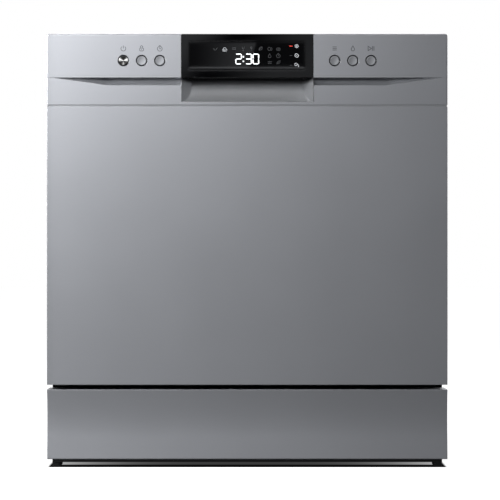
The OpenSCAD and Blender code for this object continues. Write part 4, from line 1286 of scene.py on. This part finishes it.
def rack_floor(mesh, x, y0, y1, z):
    for at in evenly(-x, x, floor_wires_x):
        tube(mesh, [(at, y0, z), (at, y1, z)], wire_d)
    for at in evenly(y0, y1, floor_wires_y):
        tube(mesh, [(-x - wire_d / 2, at, z + lap), (x + wire_d / 2, at, z + lap)], wire_d)


def rack_walls(mesh, x, y0, y1, z0, z1, front_z0):
    tube(mesh, rounded_loop(-x, x, y0, y1, z1 - wire_d / 2, 9), wire_d, closed=True)
    low_wires = (z0 + wire_d / 2, (z0 + z1) / 2)
    front_wires = (front_z0 + wire_d / 2, (front_z0 + z1) / 2)
    for side in (-x, x):
        inner = side - math.copysign(lap, side)
        for z in low_wires:
            tube(mesh, [(side, y0 + 6, z), (side, y1, z)], wire_d)
        for y in evenly(y0 + 8, y1 - 2, wall_wires_y):
            tube(mesh, [(inner, y, z0), (inner, y, z1)], wire_d)
    for y, heights in ((y1, low_wires), (y0, front_wires)):
        for z in heights:
            tube(mesh, [(-x + 6, y, z), (x - 6, y, z)], wire_d)
    for at in evenly(-x + 8, x - 8, wall_wires_x):
        tube(mesh, [(at, y1 - lap, z0), (at, y1 - lap, z1)], wire_d)
        tube(mesh, [(at, y0 + lap, front_z0), (at, y0 + lap, z1)], wire_d)


print("wires across a rack's floor:", floor_wires_x, "by", floor_wires_y)

# %% [markdown]
# ## Lower rack
# Plates stand between rows of tines in the lower rack. Its front wall starts higher and slants down to the
# floor, so the rack clears the door's liner. One of the four rows of tines folds flat for pans, so it is a
# piece of its own. Four blocks carry the axles of the wheels.

# %% Weld the lower rack
low_x = 212
low_y0 = -188
low_y1 = 176
low_z = 187
low_floor_y0 = low_y0 + 30
low_wall_z = low_z + lap + wire_d / 2 + 0.1
tine_x0 = -115
tine_pitch = 21
tine_count = 15
tine_h = 60
tine_ys = [-95, -20, 55, 130]
folding_row = 1
axle_d = 8
axle_end_x = 236


def tine_row(mesh, y):
    for i in range(tine_count):
        at = tine_x0 + i * tine_pitch
        tube(mesh, [(at, y, low_wall_z), (at, y, low_wall_z + tine_h)], tine_d)
    end_x = tine_x0 + (tine_count - 1) * tine_pitch + 3
    tube(mesh, [(tine_x0 - 3, y, low_wall_z + 1.6), (end_x, y, low_wall_z + 1.6)], tine_d)


lower_mesh = bmesh.new()
rack_floor(lower_mesh, low_x, low_floor_y0, low_y1, low_z)
rack_walls(lower_mesh, low_x, low_y0 + 2, low_y1, low_wall_z, low_wall_z + 88, low_wall_z + 30)
for at in evenly(-low_x + 8, low_x - 8, wall_wires_x):
    tube(lower_mesh, [(at, low_floor_y0, low_z), (at, low_floor_y0 - 6, low_z + 1.5),
                      (at, low_y0 + 6, low_wall_z + 24), (at, low_y0 + 3, low_wall_z + 32)], tine_d)
for row, y in enumerate(tine_ys):
    if row != folding_row:
        tine_row(lower_mesh, y)
wheel_nodes = ["wheel_front_left", "wheel_front_right", "wheel_rear_left", "wheel_rear_right"]
wheel_boxes = [corner_mm(name) for name in wheel_nodes]
wheel_z = (wheel_boxes[0][0][2] + wheel_boxes[0][1][2]) / 2
for low, high in wheel_boxes:
    y = (low[1] + high[1]) / 2
    side = math.copysign(1, low[0])
    inner, outer = sorted((side * (low_x + wire_d / 2 + 0.1), side * (low_x + 6)))
    block = box_mesh((inner, y - 9, wheel_z - 9), (outer, y + 9, low_wall_z + 20), 1.4, steps=3)
    joined(lower_mesh, [block])
    ends = sorted((side * (low_x + 5), side * axle_end_x))
    tube(lower_mesh, [(ends[0], y, wheel_z), (ends[1], y, wheel_z)], axle_d, sides=20)
make_piece("lower_rack_shell", lower_mesh, nylon_wire, "lower_rack", ["lower_rack"],
           smooth_below=50)
folding_mesh = bmesh.new()
tine_row(folding_mesh, tine_ys[folding_row])
make_piece("folding_tines_shell", folding_mesh, nylon_wire, "tines", ["folding_tines"],
           smooth_below=50)
print("lower rack in mm:", 2 * low_x, "x", low_y1 - low_y0)

# %% [markdown]
# ## Upper rack
# The upper rack is the same wirework, 66 mm high, with two rows of short tines that hold glasses upside
# down.

# %% Weld the upper rack
up_x = 218
up_y0 = -184
up_y1 = 172
up_z = 424
up_wall_z = up_z + lap + wire_d / 2 + 0.1
upper_mesh = bmesh.new()
rack_floor(upper_mesh, up_x, up_y0, up_y1, up_z)
rack_walls(upper_mesh, up_x, up_y0, up_y1, up_wall_z, up_wall_z + 66, up_wall_z)
for x in (-60, 80):
    tube(upper_mesh, [(x, up_y0 + 20, up_wall_z + 1.6), (x, up_y1 - 20, up_wall_z + 1.6)], tine_d)
    for i in range(12):
        y = up_y0 + 24 + i * 28
        tube(upper_mesh, [(x, y, up_wall_z), (x, y, up_wall_z + 38)], tine_d)
make_piece("upper_rack_shell", upper_mesh, nylon_wire, "upper_rack", ["upper_rack"],
           smooth_below=50)
print("upper rack in mm:", 2 * up_x, "x", up_y1 - up_y0)

# %% [markdown]
# ## Cup shelf
# A small grid of wires over the left side of the upper rack takes a second layer of cups. It folds up
# against the wall, so it is a piece of its own on its own body.

# %% Weld the cup shelf
shelf_z = up_wall_z + 44
shelf_x = -up_x + 8
shelf_mesh = bmesh.new()
for j in range(9):
    y = -120 + j * 30
    tube(shelf_mesh, [(shelf_x, y, shelf_z), (shelf_x + 84, y, shelf_z)], tine_d)
for x in (shelf_x + 1.5, shelf_x + 42, shelf_x + 82):
    tube(shelf_mesh, [(x, -121.5, shelf_z + 2.6), (x, 121.5, shelf_z + 2.6)], tine_d)
make_piece("cup_shelf_shell", shelf_mesh, nylon_wire, "cup_shelf", ["cup_shelf"],
           smooth_below=50)
print("cup shelf in mm: 84 x 243, at z =", round(shelf_z, 1))

# %% [markdown]
# ## Wheels
# The lower rack rolls on four wheels of white acetal, which needs no grease in hot water. Each is a tyre, a
# hub and a thin web between them, so it is one turned profile. Six ribs stiffen the web.

# %% Turn the wheels
wheel_r = 15.7
half_profile = [(4.05, -4.5), (6.4, -4.5), (7, -3.9), (7, -2), (11.6, -1.6), (12.2, -4), (12.8, -4.5),
                (15, -4.5), (wheel_r, -3.6)]
wheel_profile = half_profile + [(radius, -height) for radius, height in reversed(half_profile)]
for name, (low, high) in zip(wheel_nodes, wheel_boxes):
    centre = Vector(((low[0] + high[0]) / 2, (low[1] + high[1]) / 2, wheel_z)) * MM
    ribs = []
    for k in range(6):
        turn = Matrix.Rotation(math.radians(60 * k), 4, "X")
        ribs.append(box_mesh((-3.6, 6.8, -0.8), (3.6, 12.3, 0.8), 0.3))
        bmesh.ops.transform(ribs[-1], matrix=Matrix.Translation(centre) @ turn, verts=ribs[-1].verts)
    wheel_mesh = joined(turned(wheel_profile, centre, axis="X", count=40, closed=True), ribs)
    make_piece(name + "_turned", wheel_mesh, acetal, body_of(name), [name])
print("wheels:", len(wheel_nodes), "of", 2 * wheel_r, "mm")

# %% [markdown]
# ## Studio floor
# The floor is a pale sweep that goes on to the horizon. To the camera it is lifted to plain white, while
# for the light that falls on the machine it stays a real matt surface. Under the machine the camera sees
# a painted shadow instead of the floor: black at the front, with painted light that grows towards both
# sides. All of that is written in metres on the floor itself, as soft steps between two distances.

# %% Mix the floor's finish
floor_colour = "#808080"
floor_lift = 0.93
machine_half_w = 0.257
painted_glow_under_machine = 0.004


def floor_white():
    material, tree = new_tree("matt_white_floor")
    seen = add(tree, "LightPath")
    to_camera = seen.outputs["Is Camera Ray"]
    place = add(tree, "SeparateXYZ", {0: add(tree, "TexCoord").outputs["Object"]})
    along = place.outputs[1]
    across = add(tree, "Math", {0: place.outputs[0]}, operation="ABSOLUTE")
    ramps = {"mirrored": (along, front_m, front_m + 0.4, 0.04, 0.8), "near_x": (across, 0.45, 0.33, 0, 1),
             "near_y": (along, 0.6, 0.3, 0, 1), "painted_shadow_x": (across, 0.2755, 0.2715, 0, 1),
             "painted_shadow_front": (along, front_m - 0.002, front_m, 0, 1), "painted_shadow_back": (along, 0.25, 0.24, 0, 1),
             "painted_strip_x": (across, 0.2635, 0.2615, 0, 1),
             "painted_strip_y": (along, front_m + 0.028, front_m + 0.037, 0, 1)}
    fades = {}
    for name, (value, start, end, low, high) in ramps.items():
        fades[name] = add(tree, "MapRange", {"Value": value, "From Min": start, "From Max": end,
                                             "To Min": low, "To Max": high},
                          interpolation_type="SMOOTHSTEP")
    near = add(tree, "Math", {0: fades["near_x"], 1: fades["near_y"]}, operation="MULTIPLY")
    lift = add(tree, "Math", {0: near, 1: floor_lift - 1, 2: 1.0}, operation="MULTIPLY_ADD")
    plain = add(tree, "Math", {0: to_camera, 1: lift}, operation="MULTIPLY")
    gloss = add(tree, "Math", {0: fades["mirrored"], 1: seen.outputs["Is Glossy Ray"]}, operation="MULTIPLY")
    strength = add(tree, "Math", {0: plain, 1: gloss}, operation="MAXIMUM")
    lifted = add(tree, "Emission", {"Color": colour("#FFFFFF"), "Strength": strength})
    matt = add(tree, "BsdfDiffuse", {"Color": colour(floor_colour)})
    lit = add(tree, "AddShader", {0: matt, 1: lifted})

    # painted light under the machine: it grows towards both sides and is gone before the middle
    to_side = add(tree, "Math", {0: across, 1: 1 / machine_half_w}, operation="MULTIPLY")
    painted_side_light = add(tree, "Math", {0: to_side, 1: 4.0}, operation="POWER")
    painted_side_leak = add(tree, "Math", {0: painted_side_light, 1: 0.33, 2: 0.04}, operation="MULTIPLY_ADD")
    painted_light_strip = add(tree, "Math", {0: fades["painted_strip_x"], 1: fades["painted_strip_y"]}, operation="MULTIPLY")
    painted_under_strength = add(tree, "Math", {0: painted_side_leak, 1: painted_light_strip, 2: painted_glow_under_machine}, operation="MULTIPLY_ADD")
    under = add(tree, "Emission", {"Color": colour("#FFFFFF"), "Strength": painted_under_strength})
    # the camera sees this painted shadow and light in place of the floor under the machine
    painted_shadow_share = to_camera
    for name in ("painted_shadow_x", "painted_shadow_front", "painted_shadow_back"):
        painted_shadow_share = add(tree, "Math", {0: fades[name], 1: painted_shadow_share}, operation="MULTIPLY")
    total = add(tree, "MixShader", {0: painted_shadow_share, 1: lit, 2: under})
    add(tree, "OutputMaterial", {"Surface": total})
    return material


floor_material = floor_white()
print("floor finish of", len(floor_material.node_tree.nodes), "nodes")

# %% [markdown]
# ## Laying the floor
# One square of 24 m reaches the horizon on all sides, so that no edge shows behind the machine.

# %% Lay the floor
reach = 12.0
floor_corners = [(-reach, -reach, 0), (reach, -reach, 0), (reach, reach, 0), (-reach, reach, 0)]
floor_mesh = bpy.data.meshes.new("floor")
floor_mesh.from_pydata(floor_corners, [], [(0, 1, 2, 3)])
floor_mesh.materials.append(floor_material)
floor = bpy.data.objects.new("floor", floor_mesh)
bpy.context.scene.collection.objects.link(floor)
print("floor in metres:", round(2 * reach, 1))

# %% [markdown]
# ## Light
# A narrow lamp stands close on the left, almost level with the door, so its light falls off quickly across
# the front: on a satin surface that slow fade tells the eye it is coated metal. Two larger, softer lamps in
# front reach into the scoop and the handle pocket. Three more light the back, the top and the right side.

# %% Set the lights
lamp_table = {  # name: place, aimed at, size across and up, watts
    "key": ((-0.65, -0.31, 0.65), (-0.2, -0.25, 0.35), (0.08, 0.4), 17),
    "side": ((-0.85, -0.65, 0.75), (-0.2, -0.25, 0.4), (0.4, 0.4), 5.6),
    "front": ((-0.3, -1.3, 0.95), (-0.1, -0.25, 0.45), (0.6, 0.4), 7),
    "back": ((0.6, 2.2, 1.5), (0.0, 0.2, 0.3), (1.6, 1.6), 18),
    "top": ((0.0, 0.75, 1.9), (0.0, 0.1, 0.5), (1.4, 0.8), 14),
    "right": ((1.9, 0.9, 0.9), (0.27, 0.1, 0.3), (1.2, 1.2), 16)}
lamps = {}
for name, (place, target, size, watts) in lamp_table.items():
    data = bpy.data.lights.new(name + "_light", "AREA")
    data.shape = "RECTANGLE"
    data.size, data.size_y = size
    data.energy = watts
    lamps[name] = bpy.data.objects.new(name + "_light", data)
    lamps[name].location = place
    lamps[name].rotation_euler = (Vector(target) - Vector(place)).to_track_quat("-Z", "Y").to_euler()
    bpy.context.scene.collection.objects.link(lamps[name])
print("lamps:", len(lamps), "with", sum(row[-1] for row in lamp_table.values()), "W")

# %% [markdown]
# ## Flags
# The key lamp is so close that it would bleach the left side of the casing, and both lamps on the left
# would shine deep into the handle pocket and on the inner edges of the button holes. In a studio, black
# cards called flags hang in their way. These cast a shadow and nothing else, and light linking takes each
# of them out of the way of the lamps that it isn't meant for.

# %% Hang the flags
def flag(name, outlines, ignored_by):
    mesh = bpy.data.meshes.new(name)
    corners = [corner for outline in outlines for corner in outline]
    starts = [sum(len(before) for before in outlines[:i]) for i in range(len(outlines))]
    faces = [tuple(range(start, start + len(outline))) for start, outline in zip(starts, outlines)]
    mesh.from_pydata(corners, [], faces)
    mesh.materials.append(base_abs)
    black_card = bpy.data.objects.new(name, mesh)
    bpy.context.scene.collection.objects.link(black_card)
    for ray in ("camera", "diffuse", "glossy", "transmission", "volume_scatter"):
        setattr(black_card, "visible_" + ray, False)
    for lamp in [lamps[key] for key in ignored_by]:
        linking = lamp.light_linking
        blockers = linking.blocker_collection or bpy.data.collections.new("flags_ignored_by_" + lamp.name)
        blockers.objects.link(black_card)
        blockers.collection_objects[-1].light_linking.link_state = "EXCLUDE"
        linking.blocker_collection = blockers


# beside the casing: level with the door above its lower edge, stepped back to the kick panel below it
flag_x = -0.285
flag_back_y = 0.28
flag_top_z = 0.62
door_y = front_m - 0.0017
kick_y = front_m + 0.012
door_z = door_low[2] * MM
side_outline = [(flag_x, door_y, door_z), (flag_x, door_y, flag_top_z), (flag_x, flag_back_y, flag_top_z),
                (flag_x, flag_back_y, 0.0), (flag_x, kick_y, 0.0), (flag_x, kick_y, door_z)]
flag("side_flag", [side_outline], ("side", "front", "back", "top", "right"))

# over the pocket, and as a ring over the gap round each button
over_y = front_m + 0.00003
pocket_left = pocket_low[0] * MM
pocket_right = (pocket_high[0] + 1.2) * MM
pocket_z = pocket_low[2] * MM
pocket_outline = [(pocket_left, over_y, pocket_z), (pocket_right, over_y, pocket_z),
                  (pocket_right, over_y, crease_z * MM), (pocket_left, over_y, crease_z * MM)]
gap_ring = arc(0, 0, hole_r + 0.2, 0, 358, 48) + arc(0, 0, hole_r - 1.1, 358, 0, 48)
hole_outlines = [[((x + px) * MM, over_y, (button_z + pz) * MM) for px, pz in gap_ring] for x in button_xs]
flag("front_flags", [pocket_outline] + hole_outlines, ("front", "back", "top", "right"))
print("flags: beside the casing, over the pocket and over", len(hole_outlines), "button holes")

# %% [markdown]
# ## The room
# To the camera, and through glass, the room is plain white. Seen in a mirror it is white behind the machine
# and nearly dark in front of it, so that black gloss stays black. As light on matt surfaces it hardly
# counts.

# %% Light the room
dark_room = 0.17
sky_strength = 0.02


def studio_world():
    world = bpy.data.worlds.new("studio")
    world.use_nodes = True
    tree = world.node_tree
    tree.nodes.clear()
    seen = add(tree, "LightPath")
    clear_ray = add(tree, "Math", {0: seen.outputs["Is Camera Ray"], 1: seen.outputs["Is Transmission Ray"]},
                    operation="MAXIMUM")
    depth = add(tree, "SeparateXYZ", {0: add(tree, "TexCoord").outputs["Generated"]})
    behind = add(tree, "MapRange", {"Value": depth.outputs[1], "From Min": -0.35, "From Max": 0.35,
                                    "To Min": dark_room, "To Max": 1.0}, interpolation_type="SMOOTHSTEP")
    gloss = add(tree, "Math", {0: behind, 1: seen.outputs["Is Glossy Ray"]}, operation="MULTIPLY")
    white_ray = add(tree, "Math", {0: clear_ray, 1: gloss}, operation="MAXIMUM")
    dim = add(tree, "Background", {"Color": colour("#F2F4F8"), "Strength": sky_strength})
    white = add(tree, "Background", {"Color": colour("#FFFFFF"), "Strength": 1.0})
    sky = add(tree, "MixShader", {0: white_ray, 1: dim, 2: white})
    add(tree, "OutputWorld", {"Surface": sky})
    return world


bpy.context.scene.world = studio_world()
bpy.context.scene.view_settings.view_transform = "Standard"
print("room: dark side", dark_room, "in mirrors, light on matt surfaces", sky_strength)

# %% [markdown]
# ## What the black display mirrors
# Polished black plastic shows its shape only through what it mirrors. So a dark card hangs in front, above
# the view, where the display mirrors it. Its glow is written in the display's own millimetres: pale at both
# ends of the frame, black between, and over the window a slanted edge of light that fades out towards the
# left.

# %% Mix the card's glow
card_distance = 1.0
mirror_share = card_distance / camera_distance
card_scale = 1 + mirror_share
glare_strength = 0.95
window_haze = 0.05
sill_strength = 4.5


def mirrored(x, z):
    return (x * MM + (x * MM - camera.location.x) * mirror_share, front_y * MM - card_distance,
            z * MM + (z * MM - camera.location.z) * mirror_share)


def card_finish():
    material, tree = new_tree("mirrored_card")
    origin = mirrored(0, 0)
    per_mm = 1 / card_scale / MM
    in_mm = add(tree, "Mapping", {"Vector": add(tree, "TexCoord").outputs["Object"],
                                  "Location": tuple(-at * per_mm for at in origin), "Scale": (per_mm,) * 3})
    place = add(tree, "SeparateXYZ", {0: in_mm})
    x, z = place.outputs[0], place.outputs[2]
    lean = add(tree, "Math", {0: z, 1: -0.75, 2: 0.75 * bezel_high[2]}, operation="MULTIPLY_ADD")
    slant = add(tree, "Math", {0: x, 1: lean}, operation="ADD")
    edge_lean = 12.2 / 44
    edge_x = add(tree, "Math", {0: z, 1: edge_lean, 2: -window_low[2] * edge_lean}, operation="MULTIPLY_ADD")
    from_edge = add(tree, "Math", {0: x, 1: edge_x}, operation="SUBTRACT")
    off_middle = {}
    middle_z = (window_low[2] + window_high[2]) / 2
    half_z = (window_high[2] - window_low[2]) / 2
    for name, value, middle in (("sill", z, window_low[2] + 0.7), ("x", x, -0.5), ("z", z, middle_z)):
        signed = add(tree, "Math", {0: value, 1: middle}, operation="SUBTRACT")
        off_middle[name] = add(tree, "Math", {0: signed}, operation="ABSOLUTE")
    ramps = {"left": (slant, -14, -80, 0.62), "right": (slant, -8, 90, 0.42),
             "edge": (from_edge, 1.6, 0.6, 1), "glare": (x, -82, 13, glare_strength),
             "sill": (off_middle["sill"], 0.9, 0.3, sill_strength),
             "beside": (off_middle["x"], 79.8, 80.2, 1),
             "above": (off_middle["z"], half_z, half_z + 0.4, 1)}
    fades = {}
    for name, (value, start, end, strength) in ramps.items():
        fades[name] = add(tree, "MapRange", {"Value": value, "From Min": start, "From Max": end,
                                             "To Min": 0.0, "To Max": strength},
                          interpolation_type="SMOOTHSTEP")
    frame_glow = add(tree, "Math", {0: fades["left"], 1: fades["right"]}, operation="ADD")
    lines = add(tree, "Math", {0: fades["glare"], 1: fades["edge"], 2: fades["sill"]},
                operation="MULTIPLY_ADD")
    window_glow = add(tree, "Math", {0: lines, 1: window_haze}, operation="ADD")
    on_frame = add(tree, "Math", {0: fades["beside"], 1: fades["above"]}, operation="MAXIMUM")
    glow = add(tree, "Mix", {0: on_frame, 2: window_glow, 3: frame_glow})
    emission = add(tree, "Emission", {"Color": colour("#EEF1F6"), "Strength": glow})
    add(tree, "OutputMaterial", {"Surface": emission})
    return material


card_material = card_finish()
print("card finish of", len(card_material.node_tree.nodes), "nodes, scale", round(card_scale, 3))

# %% [markdown]
# ## Hanging the card
# Only mirror rays see the card, so it casts no light and no shadow on anything matt.

# %% Hang the mirrored card
card_half_w = 120
card_z0 = 525
card_z1 = 612
card_corners = [mirrored(-card_half_w, card_z0), mirrored(card_half_w, card_z0),
                mirrored(card_half_w, card_z1), mirrored(-card_half_w, card_z1)]
card_mesh = bpy.data.meshes.new("mirrored_card")
card_mesh.from_pydata(card_corners, [], [(0, 1, 2, 3)])
card_mesh.materials.append(card_material)
card = bpy.data.objects.new("mirrored_card", card_mesh)
bpy.context.scene.collection.objects.link(card)
for ray in ("camera", "diffuse", "transmission", "volume_scatter", "shadow"):
    setattr(card, "visible_" + ray, False)
print("card corners in m:", [[round(v, 3) for v in corner] for corner in card_corners])
